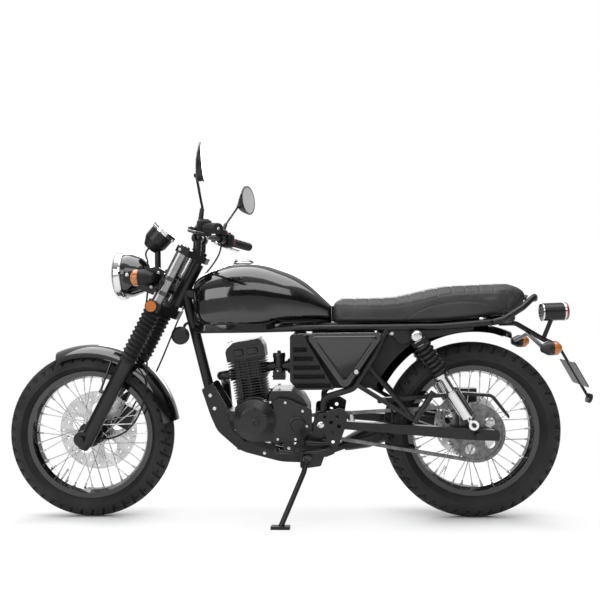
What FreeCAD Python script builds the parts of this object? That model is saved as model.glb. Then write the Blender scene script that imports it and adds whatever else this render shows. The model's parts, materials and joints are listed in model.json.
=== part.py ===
import FreeCAD, Part
import math
import os
import re
from types import SimpleNamespace

# A small air-cooled cafe racer motorcycle, leaning on its side stand.
# Every piece is drawn on the upright machine: X runs forwards from the rear axle, Y to the rider's left and
# Z up from the ground. At the end the whole machine leans to the left until it stands on its tyres and its
# side stand, with its origin on the ground under the middle of its outline.

Vector = FreeCAD.Vector
LEFT = Vector(0, 1, 0)
UP = Vector(0, 0, 1)
SIDES = (("left", 1), ("right", -1))

SIZES = {
    "wheelbase": 1385,
    "rake_angle": 28.1,
    "axle_lead": 13.9,
    "yoke_offset": 45,
    "lean_angle": 9,
    "seat_gap": 0.3,
    "running_gap": 0.05,
    "axle_radius": 8,
    "front_tyre_radius": 304,
    "front_tyre_width": 110,
    "rear_tyre_radius": 314,
    "rear_tyre_width": 120,
    "bead_radius": 217,
    "rim_flange_radius": 232,
    "rim_bed_radius": 206,
    "front_rim_width": 58,
    "rear_rim_width": 66,
    "flange_thick": 4,
    "spoke_radius": 1.8,
    "spoke_count": 36,
    "hub_flange_radius": 46,
    "hub_flange_thick": 5,
    "front_flange_spacing": 56,
    "rear_flange_spacing": 62,
    "hub_barrel_radius": 26,
    "front_disc_radius": 147,
    "rear_disc_radius": 120,
    "disc_thick": 4,
    "front_disc_offset": 60,
    "rear_disc_offset": 84,
    "sprocket_offset": 76,
    "sprocket_thick": 6,
    "sprocket_teeth": 48,
    "pinion_teeth": 14,
    "chain_pitch": 12.7,
    "chain_plate_height": 11,
    "chain_plate_thick": 2.4,
    "chain_inner_width": 7.8,
    "pinion_ahead": 610,
    "pinion_height": 348,
    "fork_spacing": 190,
    "fork_tube_radius": 18,
    "slider_radius": 26,
    "slider_top": 327,
    "gaiter_radius": 33,
    "lower_yoke_height": 536,
    "lower_yoke_thick": 34,
    "upper_yoke_height": 757,
    "upper_yoke_thick": 24,
    "ear_radius": 21.5,
    "bearing_height": 9,
    "head_tube_radius": 25,
    "stem_radius": 15,
    "bearing_gap": 0.6,
    "cable_radius": 3.2,
    "handlebar_radius": 11,
    "grip_radius": 16.5,
    "grip_length": 125,
    "handlebar_half_width": 380,
    "headlamp_radius": 88,
    "headlamp_depth": 104,
    "gauge_radius": 48,
    "gauge_depth": 92,
    "mirror_radius": 60,
    "mirror_thick": 14,
    "backbone_radius": 20,
    "down_tube_radius": 18.5,
    "rail_radius": 12,
    "cross_tube_radius": 10,
    "rail_height": 688,
    "seat_rail_spacing": 220,
    "front_rail_spacing": 150,
    "plate_thick": 6,
    "cradle_spacing": 116,
    "pivot_plate_spacing": 236,
    "pivot_ahead": 538,
    "pivot_height": 357,
    "pivot_radius": 14,
    "arm_thick": 26,
    "arm_spacing": 210,
    "shock_spacing": 280,
    "shock_body_radius": 25,
    "shock_shaft_radius": 9,
    "spring_radius": 30,
    "crankcase_width": 170,
    "cover_radius": 74,
    "cylinder_lean": 7.7,
    "cylinder_core_radius": 40,
    "fin_thick": 3,
    "fin_pitch": 9.6,
    "barrel_fins": 7,
    "head_fins": 7,
    "barrel_fin_length": 119,
    "head_fin_length": 134,
    "fin_width": 112,
    "tank_tunnel_gap": 9,
    "airbox_width": 186,
    "louvre_depth": 44,
    "cover_thick": 12,
    "rear_loop_height": 714,
    "chain_guard_width": 22,
    "stand_eye_radius": 15,
    "stand_pin_radius": 6,
    "seat_half_width": 122,
    "fender_thick": 3,
    "front_fender_radius": 327,
    "rear_fender_radius": 378,
    "header_radius": 17,
    "silencer_radius": 42,
    "stand_leg_radius": 9,
    "stand_foot_radius": 19,
}

doc = FreeCAD.newDocument("cafe_racer")
sheet = doc.addObject("Spreadsheet::Sheet", "Sizes")
for row, (alias, number) in enumerate(SIZES.items(), start=1):
    sheet.set("A%d" % row, alias)
    sheet.set("B%d" % row, str(number))
    sheet.setAlias("B%d" % row, alias)
doc.recompute()
S = SimpleNamespace(**SIZES)

RAKE = math.radians(S.rake_angle)
FORK_UP = Vector(-math.sin(RAKE), 0, math.cos(RAKE))
FORK_AHEAD = Vector(math.cos(RAKE), 0, math.sin(RAKE))
FORK_TURN = FreeCAD.Rotation(LEFT, -S.rake_angle)
REAR_AXLE = Vector(0, 0, S.rear_tyre_radius)
FRONT_AXLE = Vector(S.wheelbase, 0, S.front_tyre_radius)
LEG_BASE = FRONT_AXLE - FORK_AHEAD * S.axle_lead
PIVOT = Vector(S.pivot_ahead, 0, S.pivot_height)
PINION = Vector(S.pinion_ahead, 0, S.pinion_height)
FORK_SIDE = S.fork_spacing / 2
STEER_LOW = S.lower_yoke_height + S.lower_yoke_thick / 2 + S.bearing_height
STEER_HIGH = S.upper_yoke_height - S.upper_yoke_thick / 2 - S.bearing_height


def at(ahead, left, height):
    """A point of the upright machine."""
    return Vector(ahead, left, height)


def fork(along, left, ahead=0):
    """A point beside the fork legs: along them, to the left and ahead of them."""
    return LEG_BASE + FORK_UP * along + LEFT * left + FORK_AHEAD * ahead


def stem(along, left=0, ahead=0):
    """A point given from the steering axis, which lies behind the legs."""
    return fork(along, left, ahead - S.yoke_offset)


def size(piece, name, amount):
    """Binds a size to the sheet where it is given by name, or sets it to a number."""
    if isinstance(amount, str):
        piece.setExpression(name, re.sub(r"[a-z][a-z_]+", lambda word: "Sizes." + word.group(), amount))
    else:
        setattr(piece, name, amount)


def pointing(start, direction):
    """The placement that stands a piece on start with its own Z along direction."""
    return FreeCAD.Placement(start, FreeCAD.Rotation(UP, direction))


def rod(name, start, end, radius):
    """A round bar between two points."""
    piece = doc.addObject("Part::Cylinder", name)
    size(piece, "Radius", radius)
    piece.Height = (end - start).Length
    piece.Placement = pointing(start, end - start)
    return piece


def sleeve(name, start, end, radius, bore="handlebar_radius + seat_gap"):
    """A round sleeve with a bore right through."""
    along = end - start
    along.normalize()
    return without(name, rod(name + "_outside", start, end, radius),
                   rod(name + "_bore", start - along * 5, end + along * 5, bore))


def cone(name, start, end, first, last):
    """A bar whose radius changes from first to last."""
    piece = doc.addObject("Part::Cone", name)
    size(piece, "Radius1", first)
    size(piece, "Radius2", last)
    piece.Height = (end - start).Length
    piece.Placement = pointing(start, end - start)
    return piece


def ball(name, centre, radius):
    piece = doc.addObject("Part::Sphere", name)
    size(piece, "Radius", radius)
    piece.Placement.Base = centre
    return piece


def block(name, centre, length, width, height, turn=None):
    """A box about its centre, turned by a rotation if one is given."""
    piece = doc.addObject("Part::Box", name)
    for side, amount in (("Length", length), ("Width", width), ("Height", height)):
        size(piece, side, amount)
    doc.recompute([piece])
    middle = Vector(piece.Length.Value / 2, piece.Width.Value / 2, piece.Height.Value / 2)
    turn = turn or FreeCAD.Rotation()
    piece.Placement = FreeCAD.Placement(centre - turn.multVec(middle), turn)
    return piece


def prism(name, start, end, radius, corners=6):
    """A bar with flat sides between two points."""
    piece = doc.addObject("Part::Prism", name)
    piece.Polygon = corners
    size(piece, "Circumradius", radius)
    piece.Height = (end - start).Length
    piece.Placement = pointing(start, end - start)
    return piece


def closed(points):
    """The curves of a closed outline. A point's third number rounds its corner."""
    curves, corners = [], []
    for index, point in enumerate(points):
        here = Vector(point[0], point[1], 0)
        before = Vector(*points[index - 1][:2], 0) - here
        after = Vector(*points[(index + 1) % len(points)][:2], 0) - here
        before.normalize()
        after.normalize()
        if len(point) < 3:
            corners.append((here, here))
            continue
        half = before.getAngle(after) / 2
        first = here + before * (point[2] / math.tan(half))
        last = here + after * (point[2] / math.tan(half))
        inward = before + after
        inward.normalize()
        middle = here + inward * (point[2] / math.sin(half) - point[2])
        curves.append(Part.ArcOfCircle(first, middle, last))
        corners.append((first, last))
    for index, (first, last) in enumerate(corners):
        start = corners[index - 1][1]
        if (first - start).Length > 1e-6:
            curves.append(Part.LineSegment(start, first))
    return curves


def circle(ahead, up, radius):
    return Part.Circle(Vector(ahead, up, 0), UP, radius)


def sketched(body, role, curves):
    """A sketch on one of a body's own planes."""
    sketch = body.newObject("Sketcher::SketchObject", body.Name + "_sketch")
    plane = [face for face in body.Origin.OriginFeatures if face.Role == role][0]
    sketch.AttachmentSupport = (plane, [""])
    sketch.MapMode = "FlatFace"
    for curve in curves:
        sketch.addGeometry(curve)
    return sketch


def plate(name, outline, left, thick, holes=(), turn=None, base=None):
    """An outline in the XZ plane, thick across Y about its middle, with round holes."""
    body = doc.addObject("PartDesign::Body", name)
    sketch = sketched(body, "XZ_Plane", outline + [circle(*hole) for hole in holes])
    pad = body.newObject("PartDesign::Pad", name + "_pad")
    pad.Profile = sketch
    pad.SideType = "Symmetric"
    size(pad, "Length", thick)
    body.Placement = FreeCAD.Placement(base or Vector(0, left, 0), turn or FreeCAD.Rotation())
    return body


def slab(name, outline, base, turn, thick, holes=()):
    """An outline in its own XY plane, thick along its own Z about base."""
    body = doc.addObject("PartDesign::Body", name)
    sketch = sketched(body, "XY_Plane", outline + [circle(*hole) for hole in holes])
    pad = body.newObject("PartDesign::Pad", name + "_pad")
    pad.Profile = sketch
    pad.SideType = "Symmetric"
    size(pad, "Length", thick)
    body.Placement = FreeCAD.Placement(base, turn)
    return body


def turned(name, outline, centre, axis=LEFT, angle=360, start=0):
    """An outline of radius and height, turned about an axis through centre."""
    body = doc.addObject("PartDesign::Body", name)
    sketch = sketched(body, "XY_Plane", outline)
    turn = body.newObject("PartDesign::Revolution", name + "_turn")
    turn.Profile = sketch
    turn.ReferenceAxis = (sketch, ["V_Axis"])
    turn.Angle = angle
    spin = FreeCAD.Rotation(LEFT, start)
    body.Placement = FreeCAD.Placement(centre, FreeCAD.Rotation(LEFT, axis).multiply(spin))
    return body


def bent_path(points, bend, share=0.48):
    """Straight runs joined by tangent arcs, which take up to a share of the shorter run."""
    edges, here = [], points[0]
    for index in range(1, len(points) - 1):
        corner = points[index]
        back = points[index - 1] - corner
        on = points[index + 1] - corner
        reach = min(back.Length, on.Length) * share
        back.normalize()
        on.normalize()
        half = back.getAngle(on) / 2
        trim = min(bend / math.tan(half), reach)
        radius = trim * math.tan(half)
        inward = back + on
        inward.normalize()
        first, last = corner + back * trim, corner + on * trim
        middle = corner + inward * (radius / math.sin(half) - radius)
        edges.append(Part.LineSegment(here, first).toShape())
        edges.append(Part.Arc(first, middle, last).toShape())
        here = last
    edges.append(Part.LineSegment(here, points[-1]).toShape())
    return Part.Wire(edges)


def bent_tube(name, points, radius, bend, share=0.48):
    """A round bar bent along a path."""
    path = doc.addObject("Part::Feature", name + "_path")
    path.Shape = bent_path(points, bend, share)
    ring = doc.addObject("Part::Circle", name + "_ring")
    size(ring, "Radius", radius)
    ring.Placement = pointing(points[0], points[1] - points[0])
    tube = doc.addObject("Part::Sweep", name)
    tube.Sections = [ring]
    tube.Spine = (path, ["Edge%d" % (number + 1) for number in range(len(path.Shape.Edges))])
    tube.Solid = True
    return tube


def joined(name, pieces):
    piece = doc.addObject("Part::MultiFuse", name)
    piece.Shapes = pieces
    piece.Refine = True
    return piece


def grouped(name, pieces):
    piece = doc.addObject("Part::Compound", name)
    piece.Links = pieces
    return piece


def without(name, base, tool):
    piece = doc.addObject("Part::Cut", name)
    piece.Base = base
    piece.Tool = tool
    return piece


def lofted(name, wires):
    """A smooth solid through closed wires, with its faces outwards."""
    solid = Part.makeLoft(wires, True, False)
    if solid.Volume < 0:
        solid.reverse()
    piece = doc.addObject("Part::Feature", name)
    piece.Shape = solid
    return piece


def rounded_section(ahead, half_width, low, high, widest, squareness, points=16):
    """A closed cross-section in a YZ plane, widest at a height between low and high."""
    ring = []
    for step in range(points):
        angle = 2 * math.pi * (step + 0.5) / points
        across, up = math.cos(angle), math.sin(angle)
        reach = high - widest if up > 0 else widest - low
        power = 2 / squareness
        ring.append(Vector(
            ahead,
            half_width * math.copysign(abs(across) ** power, across),
            widest + reach * math.copysign(abs(up) ** power, up)))
    curve = Part.BSplineCurve()
    curve.interpolate(ring, PeriodicFlag=True)
    return Part.Wire([curve.toShape()])


# Wheels

def tyre(name, axle, radius, width, rim_width):
    half, crown = rim_width / 2 - S.seat_gap, width / 2
    widest = radius - crown
    lip = S.rim_flange_radius + 1
    outline = [
        Part.ArcOfCircle(Vector(widest, -crown, 0), Vector(radius, 0, 0), Vector(widest, crown, 0)),
        Part.LineSegment(Vector(widest, crown, 0), Vector(lip, half, 0)),
        Part.LineSegment(Vector(lip, half, 0), Vector(S.bead_radius, half, 0)),
        Part.LineSegment(Vector(S.bead_radius, half, 0), Vector(S.bead_radius, -half, 0)),
        Part.LineSegment(Vector(S.bead_radius, -half, 0), Vector(lip, -half, 0)),
        Part.LineSegment(Vector(lip, -half, 0), Vector(widest, -crown, 0)),
    ]
    return turned(name, outline, axle)


def rim(name, axle, rim_width):
    half = rim_width / 2
    edge = half + S.flange_thick
    seat = S.bead_radius - S.seat_gap
    bed, floor = S.rim_bed_radius, S.rim_bed_radius + 4
    outline = closed([
        (S.rim_flange_radius, edge), (S.rim_flange_radius, half), (seat, half), (seat, 16), (floor, 11),
        (floor, -11), (seat, -16), (seat, -half), (S.rim_flange_radius, -half), (S.rim_flange_radius, -edge),
        (bed + 8, -edge), (bed, -13), (bed, 13), (bed + 8, edge)])
    return turned(name, outline, axle)


def hub(name, axle, spacing, left_end, right_end, boss_radius):
    """The hub shell, its two spoke flanges and the bore that turns on the axle."""
    bore = S.axle_radius + S.running_gap
    inner, outer = spacing / 2 - S.hub_flange_thick / 2, spacing / 2 + S.hub_flange_thick / 2
    outline = closed([
        (bore, left_end), (boss_radius, left_end), (boss_radius, outer), (S.hub_flange_radius, outer),
        (S.hub_flange_radius, inner), (34, inner), (S.hub_barrel_radius, inner - 10),
        (S.hub_barrel_radius, 10 - inner), (34, -inner), (S.hub_flange_radius, -inner), (S.hub_flange_radius, -outer), (boss_radius, -outer),
        (boss_radius, -right_end), (bore, -right_end)])
    return turned(name, outline, axle)


def spokes(name, axle, spacing):
    """Crossed spokes from the hub's flanges to the rim, each clear of the next."""
    pieces = []
    hub_radius = S.hub_flange_radius - 5
    rim_radius = S.rim_bed_radius - 0.8
    inside, outside = S.hub_flange_thick / 2 + S.spoke_radius + 0.2, S.hub_flange_thick / 2 + S.spoke_radius + 1.4
    for number in range(S.spoke_count):
        side = 1 if number % 2 else -1
        lead = 1 if (number // 2) % 2 else -1
        outer = math.radians(number * 360 / S.spoke_count)
        inner = outer + lead * math.radians(42)
        beside = outside if lead == side else inside
        start = axle + Vector(
            hub_radius * math.cos(inner), side * spacing / 2 + lead * beside, hub_radius * math.sin(inner))
        end = axle + Vector(
            rim_radius * math.cos(outer), side * 7 + lead * 1.5, rim_radius * math.sin(outer))
        pieces.append(prism("%s_%d" % (name, number), start, end, "spoke_radius"))
    return grouped(name, pieces)


def brake_disc(name, axle, radius, offset, bore):
    windows = [(0, 0, bore)]
    for number in range(5):
        angle = math.radians(number * 72 + 18)
        windows.append((0.53 * radius * math.cos(angle), 0.53 * radius * math.sin(angle), 0.17 * radius))
    for number in range(24):
        angle = math.radians(number * 15)
        reach = (0.8 if number % 2 else 0.91) * radius
        windows.append((reach * math.cos(angle), reach * math.sin(angle), 3.5))
    return plate(name, [circle(0, 0, radius)], 0, "disc_thick", windows, base=axle + Vector(0, -offset, 0))


FRONT_HUB_LEFT = 54


def build_front_wheel():
    width = S.front_rim_width
    inboard = S.front_disc_offset - S.disc_thick / 2
    return {
        "front_tyre": tyre("front_tyre", FRONT_AXLE, S.front_tyre_radius, S.front_tyre_width, width),
        "front_rim": rim("front_rim", FRONT_AXLE, width),
        "front_spokes": spokes("front_spokes", FRONT_AXLE, S.front_flange_spacing),
        "front_hub": hub("front_hub", FRONT_AXLE, S.front_flange_spacing, FRONT_HUB_LEFT, inboard, 34),
        "front_disc": brake_disc("front_disc", FRONT_AXLE, S.front_disc_radius, S.front_disc_offset, 20),
    }


def build_rear_wheel():
    width = S.rear_rim_width
    inboard = S.rear_disc_offset - S.disc_thick / 2
    left_end = S.sprocket_offset - S.sprocket_thick / 2
    return {
        "rear_tyre": tyre("rear_tyre", REAR_AXLE, S.rear_tyre_radius, S.rear_tyre_width, width),
        "rear_rim": rim("rear_rim", REAR_AXLE, width),
        "rear_spokes": spokes("rear_spokes", REAR_AXLE, S.rear_flange_spacing),
        "rear_hub": hub("rear_hub", REAR_AXLE, S.rear_flange_spacing, left_end, inboard, 38),
        "rear_disc": brake_disc("rear_disc", REAR_AXLE, S.rear_disc_radius, S.rear_disc_offset, 20),
        "rear_sprocket": sprocket("rear_sprocket", REAR_AXLE, S.sprocket_teeth),
    }


def pitch_radius(teeth):
    return S.chain_pitch / (2 * math.sin(math.pi / teeth))


def sprocket(name, centre, teeth):
    """A toothed wheel: each tooth rises from the root circle to a narrow tip."""
    root, tip = pitch_radius(teeth) - 4.4, pitch_radius(teeth) + 2.6
    points = []
    for number in range(teeth):
        for part, radius in ((0.0, root), (0.3, root), (0.55, tip), (0.75, tip)):
            angle = 2 * math.pi * (number + part) / teeth
            points.append((radius * math.cos(angle), radius * math.sin(angle)))
    windows = [(0, 0, S.axle_radius + 12)]
    if teeth > 30:
        for number in range(5):
            angle = 2 * math.pi * number / 5
            windows.append((0.66 * root * math.cos(angle), 0.66 * root * math.sin(angle), 0.2 * root))
    base = centre + Vector(0, S.sprocket_offset, 0)
    return plate(name, closed(points), 0, "sprocket_thick", windows, base=base)


# Fork and steering

YOKE_REACH = 29


def build_fork():
    low, high = S.lower_yoke_height, S.upper_yoke_height
    side, behind = FORK_SIDE, S.yoke_offset
    yokes = []
    for name, height, thick, reach in (
            ("lower_yoke", low, "lower_yoke_thick", YOKE_REACH), ("upper_yoke", high, "upper_yoke_thick", 26)):
        outline = closed([
            (reach, side + reach, 20), (-20, side + reach, 20), (-behind - 30, 34, 20),
            (-behind - 30, -34, 20), (-20, -side - reach, 20), (reach, -side - reach, 20),
            (reach, -side + 30, 12), (-4, -20, 20), (-4, 20, 20), (reach, side - 30, 12)])
        yokes.append(slab(name, outline, fork(height, 0), FORK_TURN, thick))
    for name, sign in SIDES:
        yokes.append(rod(
            "fork_tube_" + name, fork(120, sign * side), fork(high + 16, sign * side), "fork_tube_radius"))
    yokes.append(rod("steering_stem", stem(low), stem(high + 20), "stem_radius"))
    yokes.append(rod("stem_nut", stem(high), stem(high + 24), 18))
    for name, sign in SIDES:
        yokes.append(rod("riser_" + name, stem(high, sign * 42, 4), HANDLEBAR_MIDDLE + LEFT * sign * 42, 15))
        yokes.append(rod(
            "riser_cap_" + name, HANDLEBAR_MIDDLE + LEFT * (sign * 42 - 14),
            HANDLEBAR_MIDDLE + LEFT * (sign * 42 + 14), 20))
    bar_hole = rod("bar_hole", HANDLEBAR_MIDDLE - LEFT * 90, HANDLEBAR_MIDDLE + LEFT * 90,
                   "handlebar_radius + seat_gap")
    return without("fork_yokes", joined("yokes_whole", yokes), bar_hole)


HANDLEBAR_MIDDLE = fork(S.upper_yoke_height + 62, 0, -12.4)


def build_sliders():
    pieces, side = [], FORK_SIDE
    for name, sign in SIDES:
        pieces.append(rod("slider_" + name, fork(-8, sign * side), fork(S.slider_top, sign * side), "slider_radius"))
        pieces.append(cone("slider_foot_" + name, fork(-34, sign * side), fork(-8, sign * side), 18, "slider_radius"))
        pieces.append(rod(
            "axle_boss_" + name, FRONT_AXLE + LEFT * sign * (side - 25), FRONT_AXLE + LEFT * sign * (side + 25), 27))
        pieces.append(rod(
            "axle_collar_" + name, FRONT_AXLE + LEFT * (FRONT_HUB_LEFT + 1 if sign > 0 else -S.front_disc_offset - 3.5),
            FRONT_AXLE + LEFT * sign * (side - 20), 14))
        pieces.append(rod(
            "axle_nut_" + name, FRONT_AXLE + LEFT * sign * (side + 20), FRONT_AXLE + LEFT * sign * (side + 38), 12))
    bores = [rod(
        "slider_bore_" + name, fork(100, sign * side), fork(S.slider_top + 10, sign * side),
        "fork_tube_radius + seat_gap") for name, sign in SIDES]
    pieces.append(rod("front_axle", FRONT_AXLE - LEFT * side, FRONT_AXLE + LEFT * side, "axle_radius"))
    pieces.append(rod("speedo_drive", FRONT_AXLE + LEFT * (FRONT_HUB_LEFT + 1), FRONT_AXLE + LEFT * 68, 26))
    return without("fork_sliders", joined("sliders_whole", pieces), grouped("slider_bores", bores))


def build_gaiters():
    """Bellows between the sliders and the lower yoke."""
    pieces = []
    inner = S.fork_tube_radius + S.seat_gap
    bottom, top = S.slider_top + 0.3, S.lower_yoke_height - S.lower_yoke_thick / 2 - 2
    folds = 11
    step = (top - bottom) / folds
    outline = [(inner, bottom)]
    for number in range(folds):
        outline.append((S.gaiter_radius - 7, bottom + number * step))
        outline.append((S.gaiter_radius, bottom + (number + 0.5) * step))
    outline += [(S.gaiter_radius - 7, top), (inner, top)]
    for name, sign in SIDES:
        pieces.append(turned("gaiter_" + name, closed(outline), fork(0, sign * FORK_SIDE), FORK_UP))
    return grouped("fork_gaiters", pieces)


def build_ears():
    """Covers over the upper fork tubes, which carry the headlamp and the front indicators."""
    pieces = []
    bottom = S.lower_yoke_height + S.lower_yoke_thick / 2
    top = S.upper_yoke_height - S.upper_yoke_thick / 2
    inner = S.fork_tube_radius + S.seat_gap
    for name, sign in SIDES:
        outline = closed([(inner, bottom), (S.ear_radius, bottom), (S.ear_radius, top), (inner, top)])
        pieces.append(turned("ear_" + name, outline, fork(0, sign * FORK_SIDE), FORK_UP))
    return grouped("fork_ears", pieces)


HEADLAMP = fork(S.lower_yoke_height + 36.3, 0, 173.3)
HEADLAMP_AIM = Vector(1, 0, -0.02)
RIM_SEAT = 8
LAMP_BOLTS = ((43, 55), (43, 112))


def build_headlamp():
    """The bowl with the brackets that clamp it to the fork covers, its bright rim and its glass."""
    radius, depth = S.headlamp_radius, S.headlamp_depth
    inner = radius - RIM_SEAT
    bowl = turned("headlamp_shell", closed([
        (0, -depth), (34, -depth + 5, 30), (inner - 16, -depth + 34, 40), (inner, -depth + 76, 60), (inner, -2),
        (inner - 4, -2), (inner - 4, -10), (0, -10)]), HEADLAMP, HEADLAMP_AIM)
    rim = turned("headlamp_rim", closed([
        (inner + S.seat_gap, -6), (radius - 2, -6, 2), (radius, 0, 3), (radius, 18, 8), (inner - 2, 26),
        (inner - 2, -2 + S.seat_gap), (inner + S.seat_gap, -2 + S.seat_gap)]), HEADLAMP, HEADLAMP_AIM)
    glass = turned("headlamp_glass", closed([
        (0, -10 + S.seat_gap), (inner - 4 - S.seat_gap, -10 + S.seat_gap), (inner - 4 - S.seat_gap, 20),
        (inner * 0.6, 27, 90), (0, 29)]), HEADLAMP, HEADLAMP_AIM)
    pieces = [bowl]
    edge = S.ear_radius + 3
    bolt = HEADLAMP - LEG_BASE
    ahead, along = bolt.dot(FORK_AHEAD) - 38, bolt.dot(FORK_UP)
    low = S.lower_yoke_height
    outline = closed([
        (edge, low + 38), (edge, low + 128, 4), (edge + 34, low + 128, 14), (ahead + 14, along + 24, 14),
        (ahead + 14, along - 12, 12), (edge + 36, low + 30, 12), (edge, low + 32, 4)])
    for name, sign in SIDES:
        side = sign * FORK_SIDE
        pieces.append(plate("lamp_bracket_" + name, outline, 0, 5, turn=FORK_TURN, base=LEG_BASE + LEFT * side))
        pieces.append(rod("lamp_bolt_" + name, HEADLAMP + at(-38, sign * (inner - 12), 0),
                          HEADLAMP + at(-38, sign * (FORK_SIDE + 8), 0), 8))
        for number, (out, up) in enumerate(LAMP_BOLTS):
            clamp = sleeve("lamp_clamp_%s_%d" % (name, number), fork(low + up - 7, side), fork(low + up + 7, side),
                           "ear_radius + 5", "ear_radius + seat_gap")
            head = prism("bracket_bolt_%s_%d" % (name, number), fork(low + up, side, out),
                         fork(low + up, side + sign * 7, out), 8)
            pieces += [clamp, head]
    post = GAUGE_FOOT - UP * 8
    reach = LEFT * (FORK_SIDE - 1)
    pieces.append(rod("lamp_bridge", post - reach, post + reach, 6))
    pieces.append(rod("gauge_seat", post - UP * 3, GAUGE_FOOT - UP * S.seat_gap, 12))
    return {"headlamp_bowl": joined("headlamp_bowl", pieces), "headlamp_rim": rim, "headlamp_glass": glass}


GAUGE_FACE = fork(S.upper_yoke_height + 34.7, 0, 114.8)
GAUGE_BACK = fork(S.upper_yoke_height - 55, 0, 138.3)
GAUGE_FOOT = HEADLAMP + at(-123, 0, 26)


def build_gauge():
    """A round instrument on a straight post that stands on the lamp brackets' bridge."""
    aim = GAUGE_FACE - GAUGE_BACK
    aim.normalize()
    middle = GAUGE_FACE - aim * S.gauge_depth
    radius, depth = S.gauge_radius, S.gauge_depth
    cup = turned("gauge_cup", closed([
        (0, 0), (26, 0, 8), (radius - 4, 32, 26), (radius - 3, depth - 16), (radius, depth - 14, 2), (radius, depth),
        (radius - 4, depth), (radius - 4, depth - 5), (0, depth - 5)]), middle, aim)
    post = rod("gauge_post", GAUGE_FOOT, at(GAUGE_FOOT.x, 0, middle.z + 14), 11)
    return joined("gauge", [cup, post])


def bar_end(sign):
    return HANDLEBAR_MIDDLE + at(-130, sign * S.handlebar_half_width, -2)


def bar_run(sign):
    """The direction of the handlebar from its end inwards."""
    run = HANDLEBAR_MIDDLE + at(-61, sign * 245, 13) - bar_end(sign)
    run.normalize()
    return run


def build_handlebar():
    route = [bar_end(1), bar_end(1) + bar_run(1) * 226, HANDLEBAR_MIDDLE + at(-6, 112, 19),
             HANDLEBAR_MIDDLE + at(0, 66, 0)]
    mirrored = [Vector(p.x, -p.y, p.z) for p in reversed(route)]
    bar = bent_tube("handlebar", route + mirrored, "handlebar_radius", 45)
    grips, controls = [], []
    for name, sign in SIDES:
        end, run = bar_end(sign), bar_run(sign)
        grip = rod("grip_outer_" + name, end - run * 6, end + run * S.grip_length, "grip_radius")
        core = rod("grip_core_" + name, end - run * 1, end + run * (S.grip_length + 20),
                   "handlebar_radius + seat_gap")
        grips.append(without("grip_" + name, grip, core))
        start = end + run * (S.grip_length + 1)
        box = sleeve("switch_box_" + name, start, start + run * 36, 21)
        perch = sleeve("perch_" + name, start + run * 52, start + run * 76, 17)
        pivot = start + run * 60 + at(34, 0, -2)
        neck = rod("perch_neck_" + name, start + run * 64 + at(19.4, 0, -1), pivot - at(4, 0, 0), 6)
        knuckle = rod("lever_knuckle_" + name, pivot - UP * 7, pivot + UP * 7, 9)
        lever = bent_tube("lever_" + name, [
            pivot - run * 3 + at(2, 0, -1), start + run * 16 + at(52, 0, -6), start - run * 84 + at(54, 0, -12),
            start - run * 128 + at(42, 0, -16)], 5, 20)
        controls += [box, perch, joined("lever_whole_" + name, [neck, knuckle, lever])]
    return {"handlebar": bar, "grips": grouped("grips", grips), "bar_controls": grouped("bar_controls", controls)}


MIRROR_HEADS = {"left": at(-86, 372, 207), "right": at(-135, -372, 193)}
MIRROR_TOE = 23


def build_mirrors():
    """Two round mirrors turned towards the rider, each on a bent stem with a rubber boot."""
    pieces = []
    for name, sign in SIDES:
        base = bar_end(sign) + bar_run(sign) * (S.grip_length + 65) + UP * (19.4 + 3 * S.seat_gap)
        head = HANDLEBAR_MIDDLE + MIRROR_HEADS[name]
        toe = math.radians(MIRROR_TOE)
        aim = Vector(-math.cos(toe), -sign * math.sin(toe), 0.05)
        bowl = turned("mirror_head_" + name, closed([
            (0, -S.mirror_thick), (S.mirror_radius - 18, -S.mirror_thick + 3, 8), (S.mirror_radius, -3),
            (S.mirror_radius, 0), (0, 0)]), head, aim)
        back = head - aim * 9
        boot_top = base + at(-10, sign * 14, 50)
        stalk = bent_tube("mirror_stem_" + name, [
            base, boot_top, head + at(-6, -sign * 42, -64), back + at(10, -sign * 12, -12)], 5, 60)
        boot = rod("mirror_boot_" + name, base, boot_top, 8)
        pieces.append(joined("mirror_" + name, [bowl, stalk, boot]))
    return grouped("mirrors", pieces)


def cable(name, points):
    """A cable whose arcs are as large as its runs allow. It prints its length and its tightest bend."""
    tube = bent_tube(name, points, "cable_radius", 1000, CABLE_SHARE)
    radii = []
    for before, here, after in zip(points, points[1:], points[2:]):
        turn = (here - before).getAngle(after - here)
        radii.append(CABLE_SHARE * min((here - before).Length, (after - here).Length) / math.tan(turn / 2))
    length = bent_path(points, 1000, CABLE_SHARE).Length
    print("%s: length %.1f mm, tightest bend %.1f mm" % (name, length, min(radii)))
    return tube


CABLE_SHARE = 0.45


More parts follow.
